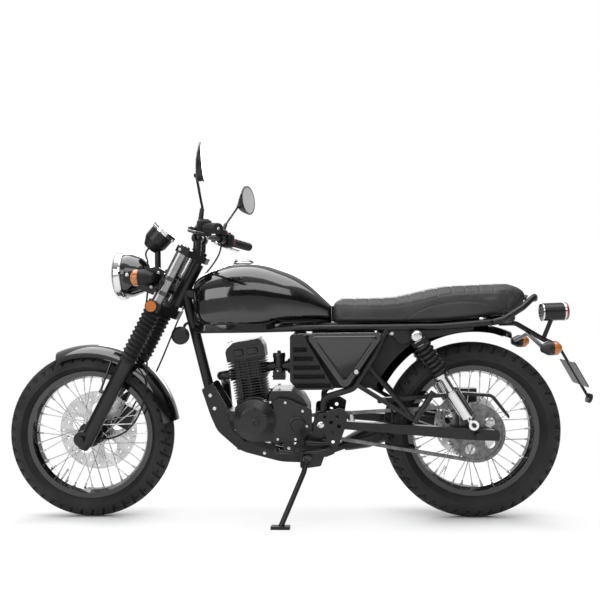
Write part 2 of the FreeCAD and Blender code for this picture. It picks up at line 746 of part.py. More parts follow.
def build_cables():
    """The speedometer cable down the left fork leg and the brake hose down the right one."""
    aim = GAUGE_FACE - GAUGE_BACK
    aim.normalize()
    gauge_exit = GAUGE_FACE - aim * (S.gauge_depth + S.seat_gap) + LEFT * 12
    speedo = [
        gauge_exit, gauge_exit - aim * 22, at(1160, 40, 936), at(1150, 57, 878), at(1160, 58, 800), at(1172, 54, 715),
        at(1174, 54, 649), at(1160, 66, 585), at(1158, 77, 512), at(1167, 78, 440), at(1194, 78, 368),
        at(1240, 77, 318), at(1294, 71, 297), at(1333, 63, 294), FRONT_AXLE + at(-26.3, 61.5, -4)]
    perch = bar_end(-1) + bar_run(-1) * (S.grip_length + 65)
    caliper_top = FRONT_AXLE + FORK_UP * (140 + S.seat_gap) - FORK_AHEAD * 76 - LEFT * (S.front_disc_offset + 6)
    hose = [
        perch - UP * (17 + S.seat_gap), perch + at(2, 2, -46), at(955, -192, 940), at(990, -165, 890),
        at(1030, -146, 835), at(1068, -138, 770), at(1098, -133, 700), at(1126, -126, 632), at(1152, -117, 566),
        at(1180, -105, 502), at(1212, -86, 446), caliper_top + FORK_UP * 24, caliper_top]
    return {"speedo_cable": cable("speedo_cable", speedo), "brake_hose": cable("brake_hose", hose)}


def build_front_fender():
    radius, edge, half = S.front_fender_radius, 284, 64
    thick = S.fender_thick
    outline = [
        Part.ArcOfCircle(Vector(edge, -half, 0), Vector(radius, 0, 0), Vector(edge, half, 0)),
        Part.LineSegment(Vector(edge, half, 0), Vector(edge, half - thick, 0)),
        Part.ArcOfCircle(
            Vector(edge, half - thick, 0), Vector(radius - thick, 0, 0), Vector(edge, -half + thick, 0)),
        Part.LineSegment(Vector(edge, -half + thick, 0), Vector(edge, -half, 0)),
    ]
    sheet_metal = turned("fender_sheet", outline, FRONT_AXLE, LEFT, 103.5, -171)
    pieces = [sheet_metal]
    for name, sign in SIDES:
        for number, along in enumerate((294, 316)):
            pieces.append(rod(
                "fender_lug_%s_%d" % (name, number), fork(along, sign * 57),
                fork(along, sign * (FORK_SIDE - S.slider_radius - S.seat_gap)), 7))
        seat = fork(176, sign * (FORK_SIDE - 6), S.slider_radius + S.seat_gap)
        pieces.append(rod("fender_pad_" + name, seat, seat + FORK_AHEAD * 16, 7))
        edge_point = FRONT_AXLE + at(-93, sign * (half - 1.5), 270)
        pieces.append(bent_tube("fender_strut_" + name, [
            edge_point, edge_point + at(6, sign * 8, -24), seat + FORK_AHEAD * 12], 4, 20))
    return joined("front_fender", pieces)


def build_calipers():
    middle = FRONT_AXLE + FORK_UP * 98 - FORK_AHEAD * 76 - LEFT * S.front_disc_offset
    whole = [block("front_caliper_body", middle, 52, 48, 84, FORK_TURN)]
    for number, along in enumerate((76, 126)):
        reach = fork(along, -FORK_SIDE + 16)
        whole.append(rod("caliper_lug_%d" % number, reach - FORK_AHEAD * (S.slider_radius - 4), reach - FORK_AHEAD * 50, 8))
    disc, half = S.front_disc_offset, S.disc_thick / 2 + 1.6
    slot = rod("front_caliper_slot", FRONT_AXLE - LEFT * (disc + half), FRONT_AXLE - LEFT * (disc - half),
               "front_disc_radius + 4")
    legs = grouped("caliper_leg_room", [
        slot, rod("caliper_leg", fork(40, -FORK_SIDE), fork(180, -FORK_SIDE), "slider_radius + seat_gap")])
    front = without("front_caliper", joined("front_caliper_whole", whole), legs)
    middle = REAR_AXLE + at(12, -S.rear_disc_offset, 112)
    disc, half = S.rear_disc_offset, S.disc_thick / 2 + 1.6
    bracket = plate("caliper_bracket", closed([
        (-22, 296, 16), (22, 296, 16), (50, 400, 6), (50, 412, 6), (-24, 412, 6), (-24, 400, 6)]), -disc - 4.6, 2.6,
        [(0, REAR_AXLE.z, 14 + S.seat_gap)])
    slot = rod("rear_caliper_slot", REAR_AXLE - LEFT * (disc + half - 0.6), REAR_AXLE - LEFT * (disc - half),
               "rear_disc_radius + 4")
    whole = joined("rear_caliper_whole", [block("rear_caliper_body", middle, 92, 46, 50), bracket])
    return {"front_caliper": front, "rear_caliper": without("rear_caliper", whole, slot)}


def build_front_indicators():
    """Indicators on stalks from the lamp brackets, and a round reflector on each end of the lower yoke."""
    bodies, lenses = [], []
    low = S.lower_yoke_height
    for name, sign in SIDES:
        middle = fork(low + 71, sign * 168, 78.6)
        stalk = rod("indicator_stalk_" + name, at(middle.x - 28, sign * (FORK_SIDE + 2.5 + S.seat_gap), middle.z),
                    middle - at(28, sign * 12, 0), 7)
        bodies.append(joined("front_indicator_" + name, [
            stalk, turned("front_indicator_cup_" + name, closed([
                (0, -50), (14, -50, 8), (27, -24, 16), (29, 0), (0, 0)]), middle, Vector(1, 0, 0))]))
        lenses.append(turned("front_indicator_lens_" + name, closed([
            (0, 0), (28, 0), (28, 17, 7), (16, 26, 20), (0, 28)]), middle, Vector(1, 0, 0)))
        yoke_end = FORK_SIDE + YOKE_REACH
        lenses.append(rod("side_reflector_" + name, fork(low - 2, sign * (yoke_end + S.seat_gap), 6),
                          fork(low - 2, sign * (yoke_end + 8), 6), 20))
    return {"front_indicators": grouped("front_indicators", bodies),
            "front_indicator_lenses": grouped("front_indicator_lenses", lenses)}


# Frame

def build_backbone():
    head = rod("head_tube", stem(STEER_LOW), stem(STEER_HIGH), "head_tube_radius")
    pieces = [head]
    pieces.append(bent_tube("backbone", [
        stem(STEER_LOW + 58), at(900, 0, S.rail_height + 97), at(700, 0, S.rail_height + 57),
        at(TANK_CROSS - 10, 0, S.rail_height)], "backbone_radius", 200))
    pieces.append(rod("down_stub", DOWN_HEAD, DOWN_JOINT, "down_tube_radius"))
    for name, sign in SIDES:
        pieces.append(bent_tube("front_rail_" + name, [
            down_line(S.rail_height - 8) + at(4, sign * 6, 0), at(930, sign * 62, S.rail_height - 5),
            at(760, sign * S.front_rail_spacing / 2, S.rail_height - 4),
            at(RAIL_SPLIT + 60, sign * S.seat_rail_spacing / 2, S.rail_height),
            at(RAIL_SPLIT + S.seat_gap, sign * S.seat_rail_spacing / 2, S.rail_height)], "rail_radius", 90))
    reach = S.seat_rail_spacing / 2 - 6
    pieces.append(rod("tank_cross_tube", at(TANK_CROSS, -reach, S.rail_height), at(TANK_CROSS, reach, S.rail_height),
                      "rail_radius"))
    for name, sign in SIDES:
        pieces.append(rod("tank_rubber_" + name, at(TANK_CROSS, sign * 56, S.rail_height),
                          at(TANK_CROSS, sign * 56, TANK_FLOOR - S.seat_gap), 11))
    pieces.append(bent_tube("horn_stay", [
        down_line(HORN.z + 43), HORN + at(-12, -8, 43), HORN + at(0, -7, 0)], 5, 14))
    pieces.append(rod("horn_pad", HORN - LEFT * 12, HORN - LEFT * S.seat_gap, 9))
    bore = rod("head_bore", stem(STEER_LOW - 20), stem(STEER_HIGH + 20), "stem_radius + running_gap")
    return without("frame_backbone", joined("backbone_whole", pieces), bore)


def down_line(height):
    """The middle of the down tube at a height."""
    return at(992.5 + (height - 651) * 0.24, 0, height)


def build_horn():
    """A round horn on a stay from the down tube."""
    return turned("horn", closed([
        (0, 0), (14, 0, 3), (20, 10, 4), (31, 12, 4), (33, 17), (33, 24, 3), (24, 30, 4), (0, 30)]), HORN)


DOWN_HEAD = down_line(822)
DOWN_JOINT = down_line(632)
DOWN_FOOT = down_line(448)
RAIL_SPLIT = 548
TANK_CROSS = 570
TANK_FLOOR = S.rail_height + S.rail_radius + 3
HORN = at(1044, 20, 663)


def build_cradle():
    pieces = [rod("down_tube", DOWN_JOINT, DOWN_FOOT, "down_tube_radius")]
    outline = closed([
        (966, 470, 6), (935, 376, 60), (911, 321, 80), (829, 249, 120), (682, 210, 200), (560, 206, 8),
        (560, 236, 8), (690, 238, 120), (800, 272, 90), (872, 330, 60), (872, 400, 60), (926, 492, 8)])
    for name, sign in SIDES:
        left = sign * (S.cradle_spacing - S.plate_thick) / 2
        pieces.append(plate("cradle_plate_" + name, outline, left, "plate_thick"))
        pivot_outline = closed([
            (612, 200, 10), (540, 210, 10), (508, 300, 20), (508, 400, 14), (560, 400, 14), (566, 330, 30), (612, 262, 14)])
        pieces.append(plate(
            "pivot_plate_" + name, pivot_outline, sign * (S.pivot_plate_spacing + S.plate_thick) / 2, "plate_thick"))
    for number, (ahead, height) in enumerate(((945, 455), (925, 395), (832, 262), (700, 226), (590, 222))):
        pieces.append(rod(
            "cradle_spacer_%d" % number, at(ahead, -S.cradle_spacing / 2, height),
            at(ahead, S.cradle_spacing / 2, height), 10))
    lug_end = STAND_PIVOT + STAND_AXIS * STAND_LUG
    pieces.append(rod("stand_lug", STAND_PIVOT - STAND_AXIS * 4, lug_end, "stand_eye_radius"))
    pin_end = lug_end + STAND_AXIS * (STAND_EYE + 1)
    pieces.append(rod("stand_pin", STAND_PIVOT, pin_end + STAND_AXIS * 5, "stand_pin_radius"))
    pieces.append(rod("stand_pin_head", pin_end, pin_end + STAND_AXIS * 6, 10))
    pieces.append(rod(
        "pivot_cross_tube", at(590, -S.pivot_plate_spacing / 2, 222), at(590, S.pivot_plate_spacing / 2, 222), 14))
    pieces.append(rod(
        "pivot_bolt", PIVOT - LEFT * (S.pivot_plate_spacing / 2 + 20), PIVOT + LEFT * (S.pivot_plate_spacing / 2 + 20), 8))
    return joined("frame_cradle", pieces)


REAR_LOOP = -140
SEAT_FLOOR = S.rail_height + S.rail_radius + 1
SHOCK_TOP = at(209, 0, S.rail_height - 29)
SHOCK_FOOT = at(20, 0, 354)
PILLION_PIVOT = at(219, 0, 372)
FENDER_CROSS = -60


def build_subframe():
    side, height = S.seat_rail_spacing / 2, S.rail_height
    loop = S.rear_loop_height
    crossing = loop - 12
    route = [at(RAIL_SPLIT, side, height), at(124, side, height),
             at(FENDER_CROSS, side - 4, crossing), at(REAR_LOOP, side - 40, loop)]
    mirrored = [Vector(p.x, -p.y, p.z) for p in reversed(route)]
    pieces = [bent_tube("seat_rail", route + mirrored, "rail_radius", 60)]
    pieces.append(rod("seat_cross_tube", at(268, -side, height), at(268, side, height), "cross_tube_radius"))
    pieces.append(rod("fender_cross_tube", at(FENDER_CROSS, 6 - side, crossing), at(FENDER_CROSS, side - 6, crossing),
                      "cross_tube_radius"))
    crown = REAR_AXLE.z + math.sqrt(S.rear_fender_radius ** 2 - (FENDER_CROSS + 8) ** 2) + S.seat_gap
    gusset = closed([
        (303, height - 4), (136, height - 4), (8, height + 6), (8, height - 12), (140, height - 36, 40),
        (194, height - 48, 20), (262, height - 60, 14)])
    for name, sign in SIDES:
        pieces.append(rod("seat_rubber_" + name, at(268, sign * 40, height), at(268, sign * 40, SEAT_FLOOR), 14))
        post = S.pivot_plate_spacing / 2 + 3
        pieces.append(bent_tube("corner_tube_" + name, [
            at(304, sign * side, height - 4), at(352, sign * post, 590), at(424, sign * post, 478),
            at(530, sign * post, 446), at(530, sign * post, 400 + S.seat_gap)], 11, 40))
        foot = PILLION_PIVOT + LEFT * sign * 148
        for number, start in enumerate((at(372, sign * post, 556), at(414, sign * post, 492))):
            pieces.append(rod("pillion_tube_%s_%d" % (name, number), start, foot, 8))
        pieces.append(rod("pillion_hinge_" + name, foot - LEFT * sign * 8, foot + LEFT * sign * 22, 9))
        pieces.append(rod("pillion_peg_" + name, foot + at(-1, sign * 14, 2), at(156, sign * 164, 471), 10))
        pieces.append(plate("gusset_" + name, gusset, sign * (side - 6), 4))
        stud = LEFT * sign
        pieces.append(rod("shock_stud_" + name, SHOCK_TOP + stud * (side - 4), SHOCK_TOP + stud * 164, 7))
        pieces.append(rod("shock_boss_" + name, at(SHOCK_TOP.x, sign * side, height + 2),
                          at(SHOCK_TOP.x, sign * side, SHOCK_TOP.z - 11), 10))
        pieces.append(rod("shock_cap_" + name, SHOCK_TOP + stud * 152.5, SHOCK_TOP + stud * 158, 15))
    pieces.append(rod("fender_tab", at(FENDER_CROSS, 0, crossing), at(FENDER_CROSS, 0, crown), 8))
    return joined("frame_subframe", pieces)


def build_swingarm():
    pieces = []
    outline = closed([
        (PIVOT.x + 22, PIVOT.z + 20, 10), (PIVOT.x + 22, PIVOT.z - 20, 10), (455, 336, 60), (30, 298, 30),
        (-74, 294, 8), (-74, 330, 8), (-20, 334, 30), (455, 363, 60)])
    for name, sign in SIDES:
        left = sign * S.arm_spacing / 2
        pieces.append(plate("swing_plate_" + name, outline, left, "arm_thick"))
        pieces.append(rod(
            "shock_pin_" + name, SHOCK_FOOT + LEFT * left, SHOCK_FOOT + LEFT * sign * 162, 7))
        pieces.append(rod("shock_lug_" + name, at(SHOCK_FOOT.x, left, 328), at(SHOCK_FOOT.x, left, 365), 12))
        pieces.append(rod(
            "axle_nut_" + name, REAR_AXLE + LEFT * (left + sign * 12), REAR_AXLE + LEFT * (left + sign * 32), 12))
    pieces.append(rod("pivot_tube", PIVOT - LEFT * S.arm_spacing / 2, PIVOT + LEFT * S.arm_spacing / 2, "pivot_radius + 1"))
    pieces.append(rod("swing_cross", at(430, -95, 347), at(430, 95, 347), 12))
    pieces.append(rod("rear_axle", REAR_AXLE - LEFT * 105, REAR_AXLE + LEFT * 105, "axle_radius"))
    left_end = S.sprocket_offset + S.sprocket_thick / 2
    right_end = S.rear_disc_offset + S.disc_thick / 2
    pieces.append(rod("rear_collar_left", REAR_AXLE + LEFT * (left_end + 1), REAR_AXLE + LEFT * 94, 14))
    pieces.append(rod("rear_collar_right", REAR_AXLE - LEFT * (right_end + 1), REAR_AXLE - LEFT * 94, 14))
    bolt = rod("swing_bore", PIVOT - LEFT * 140, PIVOT + LEFT * 140, 8.3)
    return without("swingarm", joined("swing_whole", pieces), bolt)


def build_shocks():
    bodies, springs = [], []
    for name, sign in SIDES:
        left = sign * S.shock_spacing / 2
        top, bottom = SHOCK_TOP + LEFT * left, SHOCK_FOOT + LEFT * left
        run = bottom - top
        length = run.Length
        run.normalize()
        spring_end, body_start = length * 0.43, length * 0.63
        pieces = [
            rod("shock_eye_top_" + name, top - LEFT * 12, top + LEFT * 12, 18),
            rod("shock_shaft_" + name, top + run * 12, top + run * (spring_end + 8), "shock_shaft_radius"),
            rod("shock_cup_" + name, top + run * 16, top + run * 34, "spring_radius - 2"),
            rod("shock_seat_" + name, top + run * spring_end, top + run * (spring_end + 10), "spring_radius - 2"),
            rod("shock_neck_" + name, top + run * spring_end, top + run * (body_start + 12), 14),
            rod("shock_collar_" + name, top + run * (body_start - 5), top + run * (body_start + 8), "shock_body_radius - 4"),
            rod("shock_body_" + name, top + run * body_start, top + run * (length - 34), "shock_body_radius"),
            cone("shock_tail_" + name, top + run * (length - 35), top + run * (length - 22), "shock_body_radius - 2", 13),
            rod("shock_end_" + name, top + run * (length - 24), top + run * (length - 12), 11),
            rod("shock_eye_low_" + name, bottom - LEFT * 12, bottom + LEFT * 12, 17),
        ]
        hole_top = rod("eye_hole_top_" + name, top - LEFT * 30, top + LEFT * 30, 7.3)
        hole_low = rod("eye_hole_low_" + name, bottom - LEFT * 30, bottom + LEFT * 30, 7.3)
        bodies.append(without(
            "shock_" + name, joined("shock_whole_" + name, pieces), grouped("eye_holes_" + name, [hole_top, hole_low])))
        inner = S.shock_shaft_radius + S.seat_gap
        coils = 7
        start, end = 34 + S.seat_gap, spring_end - S.seat_gap
        step = (end - start) / coils
        profile = [(inner, start)]
        for number in range(coils):
            profile += [(S.spring_radius - 6, start + number * step), (S.spring_radius, start + (number + 0.3) * step),
                        (S.spring_radius, start + (number + 0.7) * step)]
        profile += [(S.spring_radius - 6, end), (inner, end)]
        springs.append(turned("spring_" + name, closed(profile), top, run))
    return {"shocks": grouped("shocks", bodies), "shock_springs": grouped("shock_springs", springs)}


def tangent_loop(first, first_radius, last, last_radius):
    """Where a belt outside two circles leaves them: the direction and the angle of its upper run."""
    gap = last - first
    base = math.atan2(gap.z, gap.x)
    return base, math.acos((first_radius - last_radius) / gap.Length)


def belt_outline(first, first_radius, last, last_radius):
    """A closed loop round two circles."""
    base, spread = tangent_loop(first, first_radius, last, last_radius)

    def on(centre, radius, angle):
        return Vector(centre.x + radius * math.cos(angle), centre.z + radius * math.sin(angle), 0)

    up, down = base + spread, base - spread
    return [
        Part.LineSegment(on(first, first_radius, up), on(last, last_radius, up)),
        Part.ArcOfCircle(on(last, last_radius, up), on(last, last_radius, base), on(last, last_radius, down)),
        Part.LineSegment(on(last, last_radius, down), on(first, first_radius, down)),
        Part.ArcOfCircle(
            on(first, first_radius, down), on(first, first_radius, base + math.pi), on(first, first_radius, up)),
    ]


def build_chain():
    """The chain: side plates that run past the teeth, and pins across its two free runs."""
    rear, front = pitch_radius(S.sprocket_teeth), pitch_radius(S.pinion_teeth)
    grow = S.chain_plate_height / 2
    outer = belt_outline(REAR_AXLE, rear + grow, PINION, front + grow)
    inner = belt_outline(REAR_AXLE, rear - grow, PINION, front - grow)
    pieces = []
    for name, sign in SIDES:
        left = S.sprocket_offset + sign * (S.chain_inner_width + S.chain_plate_thick) / 2
        pieces.append(plate("chain_side_" + name, outer + inner, left, "chain_plate_thick"))
    base, spread = tangent_loop(REAR_AXLE, rear, PINION, front)
    half = S.chain_inner_width / 2 + S.chain_plate_thick
    for sign in (1, -1):
        angle = base + sign * spread
        start = REAR_AXLE + at(rear * math.cos(angle), 0, rear * math.sin(angle))
        end = PINION + at(front * math.cos(angle), 0, front * math.sin(angle))
        run = end - start
        count = int(run.Length / S.chain_pitch)
        for number in range(5, count - 2):
            middle = start + run * (number / count) + LEFT * S.sprocket_offset
            pieces.append(prism("chain_pin_%d_%d" % (sign + 1, number), middle - LEFT * half, middle + LEFT * half, 3.6, 6))
    return joined("drive_chain", pieces)


def arm_top(ahead):
    """The height of the swinging arm's upper edge."""
    return 334 + (ahead + 20) * 29 / 475


def build_chain_guard():
    outline = closed([
        (340, 420, 6), (340, 438, 6), (40, 458, 40), (-60, 450, 30), (-118, 372, 10), (-112, 366, 4),
        (-54, 440, 24), (40, 448, 40)])
    middle = S.rear_tyre_width / 2 + 6.5 + S.chain_guard_width / 2
    stays = [rod(
        "guard_stay_%d" % ahead, at(ahead, S.arm_spacing / 2 - 6, arm_top(ahead) + 1.4), at(ahead, middle + 6, height), 4)
        for ahead, height in ((290, 432), (64, 452))]
    return joined("chain_guard", [plate("guard_strip", outline, middle, "chain_guard_width")] + stays)


# Engine

CYLINDER_FOOT = at(786, 0, 436)
BARREL_TOP = S.barrel_fins * S.fin_pitch + 2
HEAD_TOP = BARREL_TOP + S.head_fins * S.fin_pitch + 2
PORT_HEIGHT = BARREL_TOP + 30
PORT_REACH = 72


def up_cylinder(height, ahead=0, left=0):
    """A point of the cylinder: up its axis from its foot, ahead of it and to its left."""
    lean = math.radians(S.cylinder_lean)
    return CYLINDER_FOOT + at(
        height * math.sin(lean) + ahead * math.cos(lean), left, height * math.cos(lean) - ahead * math.sin(lean))


def fins(name, first, count, length, lean):
    return [block("%s_%d" % (name, number), up_cylinder(first + number * S.fin_pitch), length, "fin_width",
                  "fin_thick", lean) for number in range(count)]


def build_engine():
    lean = FreeCAD.Rotation(LEFT, S.cylinder_lean)
    half = S.crankcase_width / 2
    case = plate("case_core", closed([
        (846, 330, 40), (842, 420, 20), (726, 422, 8), (716, 466, 12), (640, 466, 16), (600, 440, 30),
        (578, 400, 20), (578, 320, 30), (620, 288, 30), (780, 286, 40)]), 0, "crankcase_width")
    room = plate("pinion_room", closed([
        (500, 298), (652, 298, 34), (652, 398, 34), (500, 398)]), S.sprocket_offset - 1.5, 21)
    pinion = sprocket("pinion", PINION, S.pinion_teeth)
    shaft = rod("pinion_shaft", PINION + LEFT * 50, PINION + LEFT * (S.sprocket_offset + 8), 12)
    cover = turned("alternator_cover", closed([
        (0, 0), (S.cover_radius, 0), (S.cover_radius, 32, 12), (46, 52, 16), (0, 54)]), at(770, half - 3, 368))
    clutch = turned("clutch_cover", closed([
        (0, 0), (84, 0), (84, 34, 14), (50, 52, 16), (0, 54)]), at(704, 3 - half, 372), -LEFT)
    gear_cover = plate("gear_cover", closed([
        (704, 446, 24), (650, 440, 30), (570, 404, 20), (570, 330, 30), (610, 290, 20), (704, 288, 20)]), half + 11, 24)
    sump = rod("sump_plug", at(700, 0, 300), at(700, 0, 262), 26)
    foot = block("cylinder_seat", up_cylinder(-12), 112, 106, 24, lean)
    between = S.cradle_spacing - 2 * (S.plate_thick + S.seat_gap)
    lugs = [block("front_engine_lug", at(862, 0, 372), 60, between, 36),
            block("low_engine_lug", at(658, 0, 256), 34, between, 76)]
    trimmed = without("crank_trim", joined("case_whole", [case, cover, clutch, sump, foot] + lugs), room)
    crankcase = joined("crankcase", [trimmed, gear_cover, pinion, shaft])
    barrel = [rod("barrel_core", up_cylinder(S.seat_gap), up_cylinder(BARREL_TOP), "cylinder_core_radius")]
    barrel += fins("barrel_fin", 6, S.barrel_fins, "barrel_fin_length", lean)
    middle = (BARREL_TOP + HEAD_TOP) / 2
    head = [block("head_core", up_cylinder(middle + S.seat_gap), 92, 92, HEAD_TOP - BARREL_TOP, lean)]
    head += fins("head_fin", BARREL_TOP + 5, S.head_fins, "head_fin_length", lean)
    head.append(plate("rocker_cover", closed([
        (-70, 0, 6), (70, 0, 6), (72, 44, 24), (40, 68, 16), (-58, 70, 14), (-70, 44, 10)]), 0, 96,
        turn=lean, base=up_cylinder(HEAD_TOP - 0.5)))
    head.append(rod("intake_port", up_cylinder(PORT_HEIGHT, -40), up_cylinder(PORT_HEIGHT, -PORT_REACH), 19))
    head.append(rod("exhaust_port", up_cylinder(PORT_HEIGHT - 8, 40), up_cylinder(PORT_HEIGHT - 8, PORT_REACH), 20))
    return {"crankcase": crankcase, "cylinder_barrel": joined("cylinder_barrel", barrel),
            "cylinder_head": joined("cylinder_head", head)}


def build_carburettor():
    front = up_cylinder(PORT_HEIGHT, -PORT_REACH - S.seat_gap)
    turn = up_cylinder(PORT_HEIGHT, -PORT_REACH - 22)
    back = at(AIRBOX_FRONT + S.seat_gap, 0, turn.z)
    middle = at(690, 0, turn.z)
    return joined("carburettor", [
        bent_tube("manifold", [front, turn, back], 17, 30),
        rod("carburettor_top", middle - UP * 34, middle + UP * 44, 21),
        block("float_bowl", middle - UP * 34, 44, 46, 30),
        rod("intake_boot", back + at(26, 0, 0), back, 25)])


AIRBOX_FRONT = 632


def build_airbox():
    radius = S.rear_fender_radius + 5
    low, high = math.radians(25), math.radians(60)
    middle, half = (low + high) / 2, (high - low) / 2

    def wheel_arch(angle, reach):
        return REAR_AXLE.x + reach * math.cos(angle), REAR_AXLE.z + reach * math.sin(angle)

    bottom = wheel_arch(low, radius)[1]
    outline = closed([
        (AIRBOX_FRONT, 660, 10), (AIRBOX_FRONT, bottom + 30, 10), (610, bottom, 10), wheel_arch(low, radius),
        wheel_arch(middle, radius / math.cos(half)) + (radius - 4,), wheel_arch(high, radius),
        (wheel_arch(high, radius)[0], 660, 8)])
    return plate("airbox", outline, 0, "airbox_width")


COVER_MIDDLE = 143.6
LOUVRE_FRONT = 630


def build_side_panels():
    louvres, covers = [], []
    for name, sign in SIDES:
        outline = closed([(641, 667, 10), (643, 507, 14), (619, 476, 14), (488, 476, 6), (596, 667, 6)])
        middle = (S.airbox_width + S.louvre_depth) / 2 + S.seat_gap
        face = S.airbox_width / 2 + S.seat_gap + S.louvre_depth
        slots = [block("louvre_slot_%s_%d" % (name, number), at((LOUVRE_FRONT + back) / 2, sign * face, 615 - 31 * number),
                       LOUVRE_FRONT - back, 24, 14) for number, back in enumerate((583, 562, 539, 522, 502))]
        louvres.append(without(
            "louvre_panel_" + name, plate("louvre_block_" + name, outline, sign * middle, "louvre_depth"),
            grouped("louvre_slots_" + name, slots)))
        triangle = closed([(590, 670, 16), (316, 670, 16), (455, 473, 20)])
        inner, outer = sign * (S.airbox_width / 2 + S.seat_gap), sign * (COVER_MIDDLE - 4)
        covers.append(joined("side_cover_" + name, [
            plate("side_cover_skin_" + name, triangle, sign * COVER_MIDDLE, "cover_thick"),
            rod("cover_boss_high_" + name, at(505, inner, 628), at(505, outer, 628), 9),
            rod("cover_boss_low_" + name, at(470, inner, 540), at(470, outer, 540), 9)]))
    return {"louvre_panels": grouped("louvre_panels", louvres), "side_covers": grouped("side_covers", covers)}


def build_exhaust():
    port = up_cylinder(PORT_HEIGHT - 8, PORT_REACH + S.seat_gap)
    mouth, tip = at(458, -172, 220), at(95, -172, 348)
    run = tip - mouth
    run.normalize()
    elbow = mouth - run * 44
    route = [port, up_cylinder(PORT_HEIGHT - 8, PORT_REACH + 36), at(905, -96, 503), at(898, -118, 380),
             at(850, -146, 236), at(690, -166, elbow.z), elbow, mouth]
    header = bent_tube("exhaust_header", route, "header_radius", 60)
    silencer = turned("silencer", closed([
        (0, S.seat_gap), (22, S.seat_gap), (28, 20), (S.silencer_radius, 90, 20), (S.silencer_radius, 372, 10),
        (30, 384), (24, 384), (24, 376), (0, 376)]), mouth, run)
    return {"exhaust_header": header, "silencer": silencer}


# Bodywork

def tank_section(ahead, half_width, low, high, widest, tunnel_top):
    """One section of the tank: a domed outside, a lip along each side and the tunnel over the backbone."""
    tunnel, lip = S.backbone_radius + S.tank_tunnel_gap, 0.78 * half_width
    floor = TANK_FLOOR
    low, high, widest, tunnel_top = (S.rail_height + height for height in (low, high, widest, tunnel_top))
    ring = [Vector(ahead, lip + 2, low)]
    for step in range(13):
        angle = math.radians(-50 + step * 280 / 12)
        across, up = math.cos(angle), math.sin(angle)
        reach = high - widest if up > 0 else (widest - low) * 1.1
        ring.append(Vector(
            ahead,
            half_width * math.copysign(abs(across) ** 0.74, across),
            widest + reach * math.copysign(abs(up) ** 0.74, up)))
    ring.append(Vector(ahead, -lip - 2, low))
    dome = Part.BSplineCurve()
    dome.interpolate(ring)
    inside = [
        (-lip - 2, low), (-lip, floor), (-tunnel, floor), (-tunnel, tunnel_top), (tunnel, tunnel_top),
        (tunnel, floor), (lip, floor), (lip + 2, low)]
    corners = [Vector(ahead, left, height) for left, height in inside]
    edges = [dome.toShape()]
    edges += [Part.LineSegment(start, end).toShape() for start, end in zip(corners, corners[1:])]
    return Part.Wire(edges)


def build_tank():
    stations = [
        # ahead, half width, and above the rails: low, high, widest, top of the tunnel
        (994, 52, 74, 152, 118, 146), (983, 82, 30, 176, 102, 150), (957, 109, -4, 195, 86, 150),
        (900, 130, -7, 218, 80, 138), (820, 138, -8, 233, 80, 122), (724, 137, -6, 225, 78, 103),
        (672, 131, 12, 208, 77, 89), (640, 124, 14, 196, 76, 80), (570, 106, 17, 154, 68, 54),
        (520, 92, 18, 108, 60, 40), (497, 74, 20, 84, 54, 34)]
    cap = turned("fuel_cap", closed([
        (0, 0), (37, 0), (37, 8, 3), (30, 13, 4), (0, 14)]), at(814, 0, S.rail_height + 234.4), Vector(-0.01, 0, 1))
    return {"fuel_tank": lofted("fuel_tank", [tank_section(*station) for station in stations]), "fuel_cap": cap}


def build_seat():
    """A long seat with a flat base, which rests on the rails' cross tube."""
    stations = [
        # ahead, half width, and above the rails: low, high, widest
        (492, 72, 22, 82, 52), (484, 98, 15, 96, 52), (440, 112, 14, 100, 52), (348, 119, 13.8, 100, 52),
        (262, 122, 13.8, 105, 54), (197, 122, 14.2, 119, 58), (140, 121.5, 15.2, 131, 61), (100, 121, 17.5, 137, 65),
        (20, 118, 24, 141, 72),
        (-70, 112, 32, 143, 80), (-130, 102, 41, 137, 86), (-158, 84, 54, 123, 92), (-170, 50, 72, 109, 93)]
    height = S.rail_height
    return lofted("seat", [
        rounded_section(ahead, half, height + low, height + high, height + widest, 4.2)
        for ahead, half, low, high, widest in stations])


def build_rear_fender():
    radius, edge, half, thick = S.rear_fender_radius, 352, 66, S.fender_thick
    outline = [
        Part.ArcOfCircle(Vector(edge, -half, 0), Vector(radius, 0, 0), Vector(edge, half, 0)),
        Part.LineSegment(Vector(edge, half, 0), Vector(edge, half - thick, 0)),
        Part.ArcOfCircle(
            Vector(edge, half - thick, 0), Vector(radius - thick, 0, 0), Vector(edge, -half + thick, 0)),
        Part.LineSegment(Vector(edge, -half + thick, 0), Vector(edge, -half, 0)),
    ]
    return turned("rear_fender", outline, REAR_AXLE, LEFT, 88, -112)


def build_grab_rail():
    beside = S.seat_rail_spacing / 2 - 4 + S.rail_radius + 11 + S.seat_gap
    loop = S.rear_loop_height
    route = [at(-52, beside, loop - 12), at(-90, beside, loop - 2), at(-158, 110, loop + 37),
             at(-205, 84, loop + 74), at(-222, 30, loop + 66)]
    mirrored = [Vector(p.x, -p.y, p.z) for p in reversed(route)]
    return bent_tube("grab_rail", route + mirrored, 11, 24)


